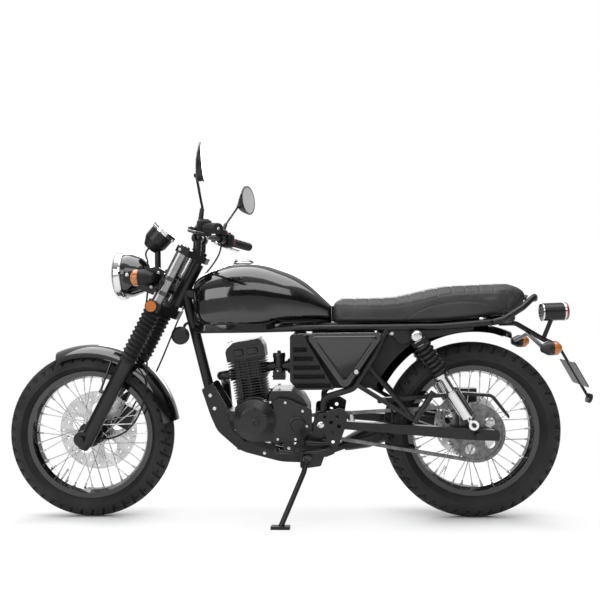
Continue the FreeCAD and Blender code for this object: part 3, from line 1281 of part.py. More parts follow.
def build_tail():
    under = S.rear_loop_height - S.rail_radius - 9 - S.seat_gap
    loop = S.rear_loop_height
    arm = bent_tube("tail_arm", [
        at(-104, 0, under), at(-162, 0, under), at(-259, 0, loop - 80), at(-317, 0, loop - 108)], 9, 40)
    strut = rod("plate_strut", at(-312, 0, loop - 102), at(-416, 0, loop - 290), 5)
    board = slab("plate_board", closed([(-50, -80, 8), (50, -80, 8), (50, 80, 8), (-50, 80, 8)]),
                 at(-366, 0, loop - 200), FreeCAD.Rotation(LEFT, math.degrees(math.atan2(188, -104))), 3)
    stalks = [rod("rear_stalk_" + name, at(-205, 0, loop - 59), at(-205, sign * 176, loop - 96), 7) for name, sign in SIDES]
    cups = []
    lenses = []
    for name, sign in SIDES:
        middle = at(-234, sign * 188, loop - 98)
        aim = Vector(-1, 0, 0)
        cups.append(turned("rear_indicator_cup_" + name, closed([
            (0, -40), (12, -40, 6), (24, -16, 10), (24, 0), (0, 0)]), middle, aim))
        lenses.append(turned("rear_indicator_lens_" + name, closed([
            (0, 0), (24, 0), (24, 12, 8), (12, 26, 10), (0, 30)]), middle, aim))
    reflector = rod("plate_reflector", at(-424, 0, loop - 294), at(-412, 0, loop - 290), 17)
    foot = rod("lamp_foot", at(-262, 0, loop - 73), at(-288, 0, loop - 10), 8)
    front, back = at(-258, 0, loop + 17), at(-332, 0, loop + 19)
    can = rod("lamp_can", front, back, 32)
    glass = turned("tail_lens", closed([
        (0, S.seat_gap), (32, S.seat_gap), (32, 12, 6), (0, 18)]), back, back - front)
    return {
        "tail_bracket": joined("tail_bracket", [arm, strut, reflector, board] + stalks + cups),
        "tail_lamp": joined("tail_lamp", [foot, can]),
        "tail_lens": glass,
        "rear_indicator_lenses": grouped("rear_indicator_lenses", lenses),
    }


def build_rearsets():
    pieces, rubbers = [], []
    outline = closed([
        (470, 414, 8), (444, 398, 8), (452, 353, 30), (470, 305, 20), (494, 257, 10), (526, 245, 10), (540, 257, 10),
        (520, 290, 12), (522, 326, 14), (556, 372, 10), (545, 394, 10)])
    holes = [(482, 384, 7), (476, 352, 7), (503, 366, 7), (498, 330, 7), (512, 275, 6), (497, 298, 6), (524, 386, 6)]
    for name, sign in SIDES:
        left = sign * (S.pivot_plate_spacing / 2 + 24)
        pieces.append(joined("rearset_" + name, [
            plate("rearset_plate_" + name, outline, left, 6, holes),
            rod("rearset_mount_" + name, at(528, sign * (S.pivot_plate_spacing / 2 + 6.3), 300), at(528, left, 300), 9),
            rod("peg_arm_" + name, at(516, left, 290), at(600, sign * 168, 300), 9),
            rod("peg_core_" + name, at(600, sign * 150, 300), at(612, sign * 292, 304), 8),
            rod("pedal_pivot_" + name, at(512, left, 275), at(512, sign * 164, 275), 9),
            bent_tube("pedal_" + name, [
                at(512, sign * 158, 275), at(560, sign * 160, 266), at(640, sign * 166, 268), at(690, sign * 172, 274)],
                6, 60),
            rod("pedal_toe_" + name, at(688, sign * 164, 274), at(690, sign * 208, 276), 8)]))
        start, end = at(602.4, sign * 179, 300.8), at(612, sign * 290, 304)
        sleeve = rod("peg_sleeve_" + name, start, end, 16)
        core = rod("peg_hole_" + name, at(600, sign * 150, 300), at(612.2, sign * 294, 304.06), 8.3)
        rubbers.append(without("peg_rubber_" + name, sleeve, core))
    return {"rearsets": grouped("rearsets", pieces), "peg_rubbers": grouped("peg_rubbers", rubbers)}


# Side stand

STAND_PIVOT = at(591, 121, 232)
STAND_AXIS = Vector(-0.158, 0.881, 0.441)
STAND_LUG = 14
STAND_EYE = 19


def ground_height(left):
    """The floor under the leaning machine, in the upright machine's own frame: it touches the rear tyre."""
    lean = math.radians(S.lean_angle)
    return left * math.tan(lean) - S.rear_tyre_width / 2 * (1 / math.cos(lean) - 1)


def build_stand():
    inner = STAND_PIVOT + STAND_AXIS * (STAND_LUG + 0.5)
    middle = inner + STAND_AXIS * (STAND_EYE / 2)
    tilt = FreeCAD.Rotation(Vector(1, 0, 0), S.lean_angle)
    sole = at(671, 270, ground_height(270)) + tilt.multVec(UP) * 5
    whole = joined("stand_whole", [
        rod("stand_eye", inner, inner + STAND_AXIS * STAND_EYE, "stand_eye_radius"),
        bent_tube("stand_leg", [middle, middle + at(10, 23, -42), sole], "stand_leg_radius", 30),
        block("stand_foot", sole, 62, 42, 10, tilt)])
    bore = rod("stand_bore", STAND_PIVOT, STAND_PIVOT + STAND_AXIS * 40, "stand_pin_radius + running_gap")
    return without("side_stand", whole, bore)


def build_all():
    nodes = {}
    for group in (build_front_wheel(), build_rear_wheel(), build_headlamp(), build_handlebar(), build_calipers(),
                  build_front_indicators(), build_cables(), build_shocks(), build_engine(), build_side_panels(), build_exhaust(),
                  build_tank(), build_tail(), build_rearsets()):
        nodes.update(group)
    nodes.update({
        "fork_yokes": build_fork(), "fork_sliders": build_sliders(), "fork_gaiters": build_gaiters(),
        "fork_ears": build_ears(), "gauge": build_gauge(), "mirrors": build_mirrors(),
        "front_fender": build_front_fender(), "frame_backbone": build_backbone(), "frame_cradle": build_cradle(),
        "frame_subframe": build_subframe(), "swingarm": build_swingarm(), "drive_chain": build_chain(),
        "horn": build_horn(),
        "chain_guard": build_chain_guard(), "carburettor": build_carburettor(), "airbox": build_airbox(),
        "seat": build_seat(), "rear_fender": build_rear_fender(), "grab_rail": build_grab_rail(),
        "side_stand": build_stand()})
    return nodes


nodes = build_all()
doc.recompute()


def overall_box(pieces):
    box = FreeCAD.BoundBox()
    for piece in pieces:
        box.add(piece.Shape.optimalBoundingBox(False))
    return box


def stand_up(pieces):
    """Leans the machine onto its stand and puts its origin on the ground under its middle."""
    lean = FreeCAD.Placement(Vector(0, 0, 0), FreeCAD.Rotation(Vector(1, 0, 0), -S.lean_angle))
    upright = [piece.Placement for piece in pieces]
    for piece, own in zip(pieces, upright):
        piece.Placement = lean.multiply(own)
    box = overall_box(pieces)
    lean.Base = Vector(-box.Center.x, -box.Center.y, -box.ZMin)
    for piece, own in zip(pieces, upright):
        piece.Placement = lean.multiply(own)
    return lean


def faults():
    """Every object that failed and every sub-part with no sound shape."""
    found = []
    for item in doc.Objects:
        if "Invalid" in item.State or "Error" in item.State:
            found.append("%s: %s" % (item.Name, item.getStatusString()))
    for label, node in nodes.items():
        if node.Shape.isNull() or not node.Shape.isValid():
            found.append("%s has no sound shape" % label)
    return found


def stop_on_faults():
    found = faults()
    if found:
        raise RuntimeError("\n".join(found))


stop_on_faults()
lean = stand_up(list(nodes.values()))
doc.recompute()
stop_on_faults()
os.makedirs("parts", exist_ok=True)
for label, node in nodes.items():
    node.Label = label
    node.Shape.exportStep("parts/%s.step" % label)
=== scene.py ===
import json
import math

import bmesh
import bpy
from mathutils import Matrix, Vector


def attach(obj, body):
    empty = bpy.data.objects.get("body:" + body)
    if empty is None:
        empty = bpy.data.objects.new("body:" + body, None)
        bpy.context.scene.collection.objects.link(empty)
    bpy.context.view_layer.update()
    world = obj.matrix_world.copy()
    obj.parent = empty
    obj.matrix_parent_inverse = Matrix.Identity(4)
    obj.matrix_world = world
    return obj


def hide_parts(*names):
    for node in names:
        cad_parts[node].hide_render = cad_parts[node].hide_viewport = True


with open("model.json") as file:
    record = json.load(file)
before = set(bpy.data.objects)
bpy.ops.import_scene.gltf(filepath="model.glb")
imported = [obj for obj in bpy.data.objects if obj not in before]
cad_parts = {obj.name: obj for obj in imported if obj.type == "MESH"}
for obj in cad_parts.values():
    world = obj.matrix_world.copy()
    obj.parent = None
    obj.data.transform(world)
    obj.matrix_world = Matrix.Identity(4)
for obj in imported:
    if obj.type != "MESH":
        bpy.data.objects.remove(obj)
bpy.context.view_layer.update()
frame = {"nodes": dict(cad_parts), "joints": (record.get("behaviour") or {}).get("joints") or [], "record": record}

# Places are given on the upright machine, in millimetres: X forwards from the rear axle, Y to the rider's
# left and Z up. at() and piece() put them where the machine stands.

LEAN = math.radians(9)
RAKE = math.radians(28.1)
REAR_AXLE = Vector((0, 0, 314))
FRONT_AXLE = Vector((1385, 0, 304))
LEFT = Vector((0, 1, 0))
UP = Vector((0, 0, 1))
SIDES = {"left": 1, "right": -1}


def joint_place(name):
    """Where the CAD puts a joint, in the leaning frame."""
    return Vector([joint for joint in frame["joints"] if joint["name"] == name][0]["pos_m"])


def standing():
    """The matrix that leans the upright machine, in metres, onto its stand."""
    turn = Matrix.Rotation(-LEAN, 4, "X")
    return Matrix.Translation(joint_place("rear_wheel_spin") - turn @ (REAR_AXLE / 1000)) @ turn


STAND = standing()
PLACE = STAND @ Matrix.Scale(0.001, 4)
FORK_UP = Vector((-math.sin(RAKE), 0, math.cos(RAKE)))
FORK_AHEAD = Vector((math.cos(RAKE), 0, math.sin(RAKE)))
AXLE_LEAD = 13.9
LEG_BASE = FRONT_AXLE - FORK_AHEAD * AXLE_LEAD


def at(point):
    """A place of the upright machine, in the frame's metres."""
    return PLACE @ Vector(point)


def fork(along, left, ahead=0):
    """A point beside the fork legs: along them, to the left and ahead of them."""
    return LEG_BASE + FORK_UP * along + LEFT * left + FORK_AHEAD * ahead


HANDLEBAR_MIDDLE = fork(819, 0, -12.4)
HEADLAMP = fork(572.3, 0, 173.3)
GAUGE_FACE = fork(791.7, 0, 114.8)
GAUGE_AIM = (GAUGE_FACE - fork(702, 0, 138.3)).normalized()


def bar_end(sign):
    """The outer end of the handlebar, left for 1 and right for -1."""
    return HANDLEBAR_MIDDLE + Vector((-130, sign * 380, -2))


def bar_run(sign):
    """The direction of the grip, from the bar's end inwards."""
    return (HANDLEBAR_MIDDLE + Vector((-61, sign * 245, 13)) - bar_end(sign)).normalized()


# Camera

def build_camera():
    """The photograph's camera, solved from the wheels' outlines and from features that come in pairs."""
    focal_pixels, image_pixels, sensor = 678, 600, 36
    place = Vector((0.489, 2.469, 0.791))
    yaw, pitch, roll = (math.radians(angle) for angle in (2.83, 0.12, -0.76))
    ahead = Vector((math.sin(yaw) * math.cos(pitch), -math.cos(yaw) * math.cos(pitch), -math.sin(pitch)))
    right = ahead.cross(Vector((0, 0, 1))).normalized()
    up = right.cross(ahead)
    across = math.cos(roll) * right + math.sin(roll) * up
    rise = -math.sin(roll) * right + math.cos(roll) * up
    turn = Matrix((across, rise, -ahead)).transposed().to_4x4()
    data = bpy.data.cameras.new("photo_camera")
    data.sensor_width = sensor
    data.lens = focal_pixels / image_pixels * sensor
    camera = bpy.data.objects.new("photo_camera", data)
    camera.matrix_world = STAND @ Matrix.Translation(place) @ turn
    bpy.context.scene.collection.objects.link(camera)
    bpy.context.scene.camera = camera
    bpy.context.scene.view_settings.view_transform = "Standard"


# Materials

def new_material(name):
    """A material with its nodes, its links and its shader."""
    material = bpy.data.materials.new(name)
    material.use_nodes = True
    nodes = material.node_tree.nodes
    return material, nodes, material.node_tree.links, nodes["Principled BSDF"]


def noise(nodes, links, scale, detail=4):
    """A noise in the object's own coordinates."""
    place = nodes.new("ShaderNodeTexCoord")
    texture = nodes.new("ShaderNodeTexNoise")
    texture.inputs["Scale"].default_value = scale
    texture.inputs["Detail"].default_value = detail
    links.new(place.outputs["Object"], texture.inputs["Vector"])
    return texture.outputs["Fac"]


def spread(nodes, links, value, low, high):
    """A value between 0.3 and 0.7 spread over low to high."""
    node = nodes.new("ShaderNodeMapRange")
    node.inputs["From Min"].default_value = 0.3
    node.inputs["From Max"].default_value = 0.7
    node.inputs["To Min"].default_value = low
    node.inputs["To Max"].default_value = high
    links.new(value, node.inputs["Value"])
    return node.outputs["Result"]


def bumped(nodes, links, shader, value, strength, distance):
    """Lets a value raise the surface."""
    node = nodes.new("ShaderNodeBump")
    node.inputs["Strength"].default_value = strength
    node.inputs["Distance"].default_value = distance
    links.new(value, node.inputs["Height"])
    links.new(node.outputs["Normal"], shader.inputs["Normal"])


def tinted(nodes, links, value, first, last):
    """A colour between two, by a value."""
    node = nodes.new("ShaderNodeValToRGB")
    node.color_ramp.elements[0].position = 0.35
    node.color_ramp.elements[0].color = (*first, 1)
    node.color_ramp.elements[1].position = 0.65
    node.color_ramp.elements[1].color = (*last, 1)
    links.new(value, node.inputs["Fac"])
    return node.outputs["Color"]


def surface(name, first, last, rough, metallic=0.0, grain=300, bump=0.0, depth=0.0004, coat=0.0,
            tint_scale=9, gloss=0.5):
    """A finish with a slow change of colour, a fine grain in its gloss and a bump of that grain."""
    material, nodes, links, shader = new_material(name)
    slow = noise(nodes, links, tint_scale)
    fine = noise(nodes, links, grain, 6)
    links.new(tinted(nodes, links, slow, (first,) * 3, (last,) * 3), shader.inputs["Base Color"])
    links.new(spread(nodes, links, fine, rough[0], rough[1]), shader.inputs["Roughness"])
    shader.inputs["Metallic"].default_value = metallic
    shader.inputs["Specular IOR Level"].default_value = gloss
    shader.inputs["Coat Weight"].default_value = coat
    shader.inputs["Coat Roughness"].default_value = 0.03
    if bump:
        bumped(nodes, links, shader, fine, bump, depth)
    return material


def lens(name, colour, clear):
    """Coloured or clear moulded plastic that lets light through."""
    material, nodes, links, shader = new_material(name)
    shader.inputs["Base Color"].default_value = (*colour, 1)
    shader.inputs["Transmission Weight"].default_value = clear
    shader.inputs["Coat Weight"].default_value = 0.6
    shader.inputs["IOR"].default_value = 1.45
    fine = noise(nodes, links, 120)
    links.new(spread(nodes, links, fine, 0.06, 0.14), shader.inputs["Roughness"])
    return material


FINISH = {
    "tyre_rubber": surface("tyre_rubber", 0.012, 0.022, (0.55, 0.75), grain=420, bump=0.25, gloss=0.25),
    "soft_rubber": surface("soft_rubber", 0.006, 0.011, (0.5, 0.66), grain=600, bump=0.2, gloss=0.25),
    "black_paint": surface("black_paint", 0.003, 0.004, (0.10, 0.16), coat=1.0, grain=60, gloss=0.3),
    "satin_black": surface("satin_black", 0.005, 0.009, (0.26, 0.36), grain=700, bump=0.12, gloss=0.35),
    "black_plastic": surface("black_plastic", 0.006, 0.010, (0.42, 0.55), grain=900, bump=0.25, gloss=0.25),
    "engine_black": surface("engine_black", 0.006, 0.012, (0.28, 0.40), grain=500, bump=0.22, gloss=0.4),
    "chrome": surface("chrome", 0.60, 0.70, (0.05, 0.11), metallic=1.0, grain=40),
    "bare_alloy": surface("bare_alloy", 0.24, 0.34, (0.22, 0.32), metallic=1.0, grain=500, bump=0.1),
    "disc_steel": surface("disc_steel", 0.50, 0.62, (0.22, 0.36), metallic=1.0, grain=160, bump=0.05),
    "zinc_steel": surface("zinc_steel", 0.55, 0.68, (0.2, 0.3), metallic=1.0, grain=200),
    "chain_steel": surface("chain_steel", 0.10, 0.20, (0.3, 0.5), metallic=1.0, grain=260, bump=0.1,
                           tint_scale=60),
    "seat_cover": surface("seat_cover", 0.020, 0.030, (0.42, 0.56), grain=650, bump=0.5, depth=0.0006,
                          gloss=0.4),
    "amber_lens": lens("amber_lens", (0.52, 0.15, 0.012), 0.25),
    "red_lens": lens("red_lens", (0.40, 0.01, 0.015), 0.35),
    "clear_lens": lens("clear_lens", (0.92, 0.94, 0.95), 0.9),
}


def finish_of(node):
    """The record's material slot of a CAD node."""
    return [part["material_slot"] for part in frame["record"]["subparts"] if part["node"] == node][0]


def dress_nodes():
    """Gives each CAD node its finish."""
    for name, thing in frame["nodes"].items():
        for number in range(max(1, len(thing.material_slots))):
            if not thing.material_slots:
                thing.data.materials.append(FINISH[finish_of(name)])
            else:
                thing.material_slots[number].material = FINISH[finish_of(name)]


# Making pieces

def piece(name, mesh, body, slot, smooth=38):
    """A new piece from a mesh drawn on the upright machine, riding a body."""
    mesh.transform(PLACE)
    mesh.polygons.foreach_set("use_smooth", [True] * len(mesh.polygons))
    mesh.set_sharp_from_angle(angle=math.radians(smooth))
    mesh.materials.clear()
    mesh.materials.append(FINISH[slot])
    thing = bpy.data.objects.new(name, mesh)
    bpy.context.scene.collection.objects.link(thing)
    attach(thing, body)
    return thing


def made(name, form, body, slot, smooth=38):
    """Ends a bmesh form as a piece."""
    bmesh.ops.recalc_face_normals(form, faces=form.faces)
    mesh = bpy.data.meshes.new(name)
    form.to_mesh(mesh)
    form.free()
    return piece(name, mesh, body, slot, smooth)


def lathe(form, profile, centre, axis=LEFT, steps=48):
    """Turns points of radius and height about an axis through centre."""
    turn = UP.rotation_difference(Vector(axis)).to_matrix()
    around = [2 * math.pi * step / steps for step in range(steps)]
    rings = []
    for radius, height in profile:
        angles = around if radius > 0.001 else around[:1]
        rings.append([form.verts.new(Vector(centre) + turn @ Vector((
            radius * math.cos(angle), radius * math.sin(angle), height))) for angle in angles])
    for low, high in zip(rings, rings[1:]):
        for step in range(steps if len(low) + len(high) > 2 else 0):
            after = (step + 1) % steps
            corners = [low[step % len(low)], low[after % len(low)]]
            corners += [high[after % len(high)], high[step % len(high)]]
            form.faces.new([corner for spot, corner in enumerate(corners) if corner not in corners[:spot]])


def bar(form, start, end, radius, steps=8):
    """A round bar between two points."""
    start, end = Vector(start), Vector(end)
    length = (end - start).length
    lathe(form, [(0, 0), (radius, 0), (radius, length), (0, length)], start, end - start, steps)


BOLT_SHARE = 0.74


def bolt(form, place, axis, radius):
    """A bolt's head with a washer under it and a socket in it, a little smaller than the radius says."""
    radius *= BOLT_SHARE
    height = radius * 0.9
    lathe(form, [(0, 0), (radius * 1.35, 0), (radius * 1.35, height * 0.2), (radius, height * 0.2),
                 (radius, height * 0.85), (radius * 0.85, height), (radius * 0.5, height),
                 (radius * 0.45, height * 0.5), (0, height * 0.5)], place, axis, 16)


def box(form, centre, size, bevel=2, turn=None):
    """A box with rounded edges, turned by a rotation matrix if one is given."""
    place = Matrix.Translation(Vector(centre)) @ (turn or Matrix()).to_4x4() @ Matrix.Diagonal((*size, 1))
    made_now = bmesh.ops.create_cube(form, size=1, matrix=place)
    edges = list({edge for vertex in made_now["verts"] for edge in vertex.link_edges})
    bmesh.ops.bevel(form, geom=edges, offset=bevel, segments=3, profile=0.5, affect="EDGES",
                    clamp_overlap=True)


def smooth_line(points, steps=10):
    """Points along a smooth curve through the given ones."""
    points = [Vector(point) for point in points]
    line = []
    for number in range(len(points) - 1):
        before = points[max(number - 1, 0)]
        here, there = points[number], points[number + 1]
        after = points[min(number + 2, len(points) - 1)]
        for step in range(steps):
            t = step / steps
            line.append(0.5 * (
                2 * here + (there - before) * t + (2 * before - 5 * here + 4 * there - after) * t * t
                + (3 * here - before - 3 * there + after) * t ** 3))
    return line + [points[-1]]


def wire(form, points, radius, steps=10, sides=10):
    """A round wire along a smooth curve, with closed ends."""
    line = smooth_line(points, steps)
    around = [2 * math.pi * side / sides for side in range(sides)]
    rings = []
    for number, point in enumerate(line):
        run = (line[min(number + 1, len(line) - 1)] - line[max(number - 1, 0)]).normalized()
        beside = run.cross(LEFT if abs(run.y) < 0.8 else UP).normalized()
        over = run.cross(beside)
        rings.append([form.verts.new(point + radius * (math.cos(angle) * beside + math.sin(angle) * over))
                      for angle in around])
    for low, high in zip(rings, rings[1:]):
        for side in range(sides):
            after = (side + 1) % sides
            form.faces.new([low[side], low[after], high[after], high[side]])
    form.faces.new(rings[0])
    form.faces.new(rings[-1])


# Cords

CABLE_RADIUS = 3.2


def cord(name, node, points):
    """A cable in place of its CAD node, on a smooth spline with the CAD route's points."""
    curve = bpy.data.curves.new(name, "CURVE")
    curve.dimensions = "3D"
    line = curve.splines.new("NURBS")
    line.points.add(len(points) - 1)
    for knot, point in zip(line.points, points):
        knot.co = (*at(point), 1)
    line.order_u = 3
    line.use_endpoint_u = True
    line.resolution_u = 12
    curve.bevel_depth = CABLE_RADIUS / 1000
    curve.bevel_resolution = 3
    curve.use_fill_caps = True
    curve.materials.append(FINISH["soft_rubber"])
    thing = bpy.data.objects.new(name, curve)
    bpy.context.scene.collection.objects.link(thing)
    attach(thing, "steering")
    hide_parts(node)


def build_cords():
    """The speedometer cable from the gauge to the front hub and the brake hose down to its caliper."""
    gauge_exit = GAUGE_FACE - GAUGE_AIM * 92.3 + LEFT * 12
    cord("speedometer_line", "speedo_cable", [
        gauge_exit, gauge_exit - GAUGE_AIM * 22, (1160, 40, 936), (1150, 57, 878), (1160, 58, 800),
        (1172, 54, 715), (1174, 54, 649), (1160, 66, 585), (1158, 77, 512), (1167, 78, 440),
        (1194, 78, 368), (1240, 77, 318), (1294, 71, 297), (1333, 63, 294),
        FRONT_AXLE + Vector((-26.3, 61.5, -4))])
    perch = bar_end(-1) + bar_run(-1) * 190
    caliper_top = FRONT_AXLE + FORK_UP * 140.3 - FORK_AHEAD * 76 - LEFT * 66
    cord("front_brake_line", "brake_hose", [
        perch - UP * 17.3, perch + Vector((2, 2, -46)), (955, -192, 940), (990, -165, 890),
        (1030, -146, 835), (1068, -138, 770), (1098, -133, 700), (1126, -126, 632), (1152, -117, 566),
        (1180, -105, 502), (1212, -86, 446), caliper_top + FORK_UP * 24, caliper_top])


# Tyres

TREAD_DEPTH = 6.5
TREAD_HALF = 66
TREAD_PITCHES = 44
TYRE_STEPS = 880


def cut_share(distance, half_width):
    """From 1 inside a groove to 0 outside it, over soft edges."""
    return max(0.0, min(1.0, (half_width - abs(distance)) / 1.4 + 0.5))


def tread_cut(across, along, pitch):
    """How much of the full groove depth the tread has at a place: zigzag rings and hooked shoulder cuts."""
    phase = along / pitch
    reach = abs(across)
    swing = abs((phase % 1) * 2 - 1)
    cut = cut_share(reach - 11 - 5 * swing, 2.0)
    if reach > 20:
        hook = ((phase + (0.5 if across > 0 else 0) + (reach - 20) / 110) % 1 - 0.5) * pitch
        cut = max(cut, cut_share(hook, 1.8 + reach / 22))
        if -20 < hook < 0:
            cut = max(cut, cut_share(reach - 47, 3.2))
    return cut


def tyre(name, node, axle, radius, width, rim_width, body):
    """A tyre with a cut tread, rings on its walls and beads in the rim."""
    crown = width / 2
    widest = radius - crown
    half = rim_width / 2 - 0.3
    pitch = 2 * math.pi * radius / TREAD_PITCHES
    beads = [(217, half), (226, half), (233, half + 0.5), (239, half + 8)]
    reach = crown * math.pi / 2
    wall_steps = (0, 5, 8, 9, 12, 13, 17)
    places = [step - reach for step in wall_steps]
    places += range(-TREAD_HALF, TREAD_HALF + 1, 2)
    places += [reach - step for step in reversed(wall_steps)]
    profile = [(distance, -beside, None) for distance, beside in beads]
    for across in places:
        angle = across / crown
        out = crown + (0.9 if 8.5 < reach - abs(across) < 12.5 else 0)
        profile.append((widest + out * math.cos(angle), out * math.sin(angle), across))
    profile += [(distance, beside, None) for distance, beside in reversed(beads)]
    vertices, faces = [], []
    for step in range(TYRE_STEPS):
        turn = 2 * math.pi * step / TYRE_STEPS
        out_ahead, out_up = math.cos(turn), math.sin(turn)
        for distance, beside, across in profile:
            if across is not None and abs(across) < TREAD_HALF:
                deep = TREAD_DEPTH * tread_cut(across, turn * radius, pitch)
                distance -= deep * math.cos(across / crown)
                beside -= deep * math.sin(across / crown)
            vertices.append((axle.x + distance * out_ahead, beside, axle.z + distance * out_up))
    count = len(profile)
    for step in range(TYRE_STEPS):
        here, there = step * count, (step + 1) % TYRE_STEPS * count
        for number in range(count):
            on = (number + 1) % count
            faces.append((here + number, here + on, there + on, there + number))
    mesh = bpy.data.meshes.new(name)
    mesh.from_pydata(vertices, [], faces)
    thing = piece(name, mesh, body, "tyre_rubber", 32)
    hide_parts(node)


def wheel_details(name, axle, spacing, disc_left, body):
    """Spoke nipples, a valve and the bolts of the brake disc."""
    form = bmesh.new()
    for number in range(36):
        side = 1 if number % 2 else -1
        lead = 1 if (number // 2) % 2 else -1
        outer = math.radians(number * 10)
        inner = outer + lead * math.radians(42)
        beside = side * spacing / 2 + lead * (4.3 + (1.4 if lead == side else 0.2))
        start = axle + Vector((41 * math.cos(inner), beside, 41 * math.sin(inner)))
        end = axle + Vector((205.2 * math.cos(outer), side * 7 + lead * 1.5, 205.2 * math.sin(outer)))
        run = (end - start).normalized()
        bar(form, end - run * 15, end + run * 1, 3.4, 8)
        bar(form, end - run * 3, end + run * 1, 5.4, 8)
    made(name + "_nipples", form, body, "zinc_steel")
    form = bmesh.new()
    angle = math.radians(-55)
    out = Vector((math.cos(angle), 0, math.sin(angle)))
    bar(form, axle + out * 206 + LEFT * 3, axle + out * 172 + LEFT * 3, 3, 12)
    bar(form, axle + out * 172 + LEFT * 3, axle + out * 163 + LEFT * 3, 4.2, 12)
    for number in range(5):
        angle = math.radians(72 * number + 54)
        place = axle + Vector((29 * math.cos(angle), disc_left, 29 * math.sin(angle)))
        bolt(form, place, -LEFT, 5)
    made(name + "_bolts", form, body, "zinc_steel")


# Seat

# Where the ribs cross the seat, and the side's arched seam and the top's edge in the side view.
SEAT_RIBS = (465, 415, 366, 317, 269, 223, 175, 128, 78, 31, -18, -66)
SEAT_ARC = (
    (270, 690), (255, 701), (210, 736), (158, 758), (90, 772), (22, 774), (-28, 767), (-72, 753),
    (-118, 722))
SEAT_EDGE = (
    (500, 765), (398, 759), (329, 758), (261, 762), (215, 770), (165, 781), (120, 794), (60, 803),
    (-60, 806), (-120, 801), (-150, 790))


SWELL_FRAMES = 20


def applied(thing):
    """A copy of an object's mesh with its modifiers worked in."""
    graph = bpy.context.evaluated_depsgraph_get()
    graph.update()
    mesh = bpy.data.meshes.new_from_object(thing.evaluated_get(graph))
    thing.modifiers.clear()
    thing.data = mesh
    return mesh


def inflate(thing, cap):
    """Lets cloth swell under pressure, with its base held, and caps how far a point moves."""
    mesh = thing.data
    rest = [vertex.co.copy() for vertex in mesh.vertices]
    pins = thing.vertex_groups.new(name="base")
    pins.add([vertex.index for vertex in mesh.vertices if vertex.normal.z < -0.6], 1, "REPLACE")
    cloth = thing.modifiers.new("cloth", "CLOTH")
    cloth.settings.use_pressure = True
    cloth.settings.uniform_pressure_force = 4
    cloth.settings.effector_weights.gravity = 0
    cloth.settings.vertex_group_mass = "base"
    cloth.point_cache.frame_start = 1
    cloth.point_cache.frame_end = SWELL_FRAMES
    for number in range(1, SWELL_FRAMES + 1):
        bpy.context.scene.frame_set(number)
    swollen = thing.evaluated_get(bpy.context.evaluated_depsgraph_get()).to_mesh()
    moved = [vertex.co.copy() for vertex in swollen.vertices]
    thing.modifiers.clear()
    for vertex, before, after in zip(mesh.vertices, rest, moved):
        step = after - before
        if step.length > cap:
            step *= cap / step.length
        vertex.co = before + step
    bpy.context.scene.frame_set(1)


def near_line(point, line):
    """How far a point of the side view is from a line through others."""
    best = 1e9
    for start, end in zip(line, line[1:]):
        first, last = Vector(start), Vector(end)
        run = last - first
        share = max(0, min(1, (point - first).dot(run) / run.length_squared))
        best = min(best, (point - first - run * share).length)
    return best


def from_to(value, start, length):
    """From 0 at start to 1 a length further on."""
    return max(0, min(1, (value - start) / length))


def seat_form():
    """The CAD's seat in metres on the upright machine, with room to swell and its rear end filled out."""
    mesh = frame["nodes"]["seat"].data.copy()
    mesh.transform(STAND.inverted())
    middle = 0.161
    for vertex in mesh.vertices:
        vertex.co.y *= 0.965
        vertex.co.x = middle + (vertex.co.x - middle) * 0.998
        vertex.co.z -= 0.004 * from_to(vertex.co.z, 0.72, 0.05)
        rear = from_to(-vertex.co.x, 0.06, 0.1) * from_to(vertex.co.z, 0.74, 0.05)
        vertex.co.x -= 0.014 * rear
        vertex.co.z += 0.006 * rear
    return mesh


def seam(distance, depth, width):
    """How deep a seam is sewn in at a distance from it."""
    return depth * math.exp(-(distance / width) ** 2)


def build_seat():
    """The padded seat: the CAD form swollen as cloth over foam, then sewn into ribs and side seams."""
    mesh = seat_form()
    thing = bpy.data.objects.new("seat_work", mesh)
    bpy.context.scene.collection.objects.link(thing)
    remesh = thing.modifiers.new("remesh", "REMESH")
    remesh.mode = "VOXEL"
    remesh.voxel_size = 0.007
    applied(thing)
    inflate(thing, 0.006)
    rounding = thing.modifiers.new("rounding", "SUBSURF")
    rounding.levels = 1
    rounding.render_levels = 1
    mesh = applied(thing)
    bpy.data.objects.remove(thing)
    mesh.transform(Matrix.Scale(1000, 4))
    normals = [vertex.normal.copy() for vertex in mesh.vertices]
    for vertex, normal in zip(mesh.vertices, normals):
        place = vertex.co
        flat = Vector((place.x, place.z))
        nearest = min(abs(place.x - rib) for rib in SEAT_RIBS)
        deep = seam(nearest, 2.6 * from_to(normal.z, 0.35, 0.3), 2.8)
        if abs(place.y) > 60:
            deep = max(deep, seam(near_line(flat, SEAT_ARC), 2.4, 2.8))
            deep = max(deep, seam(near_line(flat, SEAT_EDGE), 1.1, 2.6))
        vertex.co = place - normal * deep
    seat = piece("seat_padding", mesh, "frame", "seat_cover", 180)
    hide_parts("seat")


# Lamps, gauge and mirrors

LAMP_AIM = Vector((1, 0, -0.02))


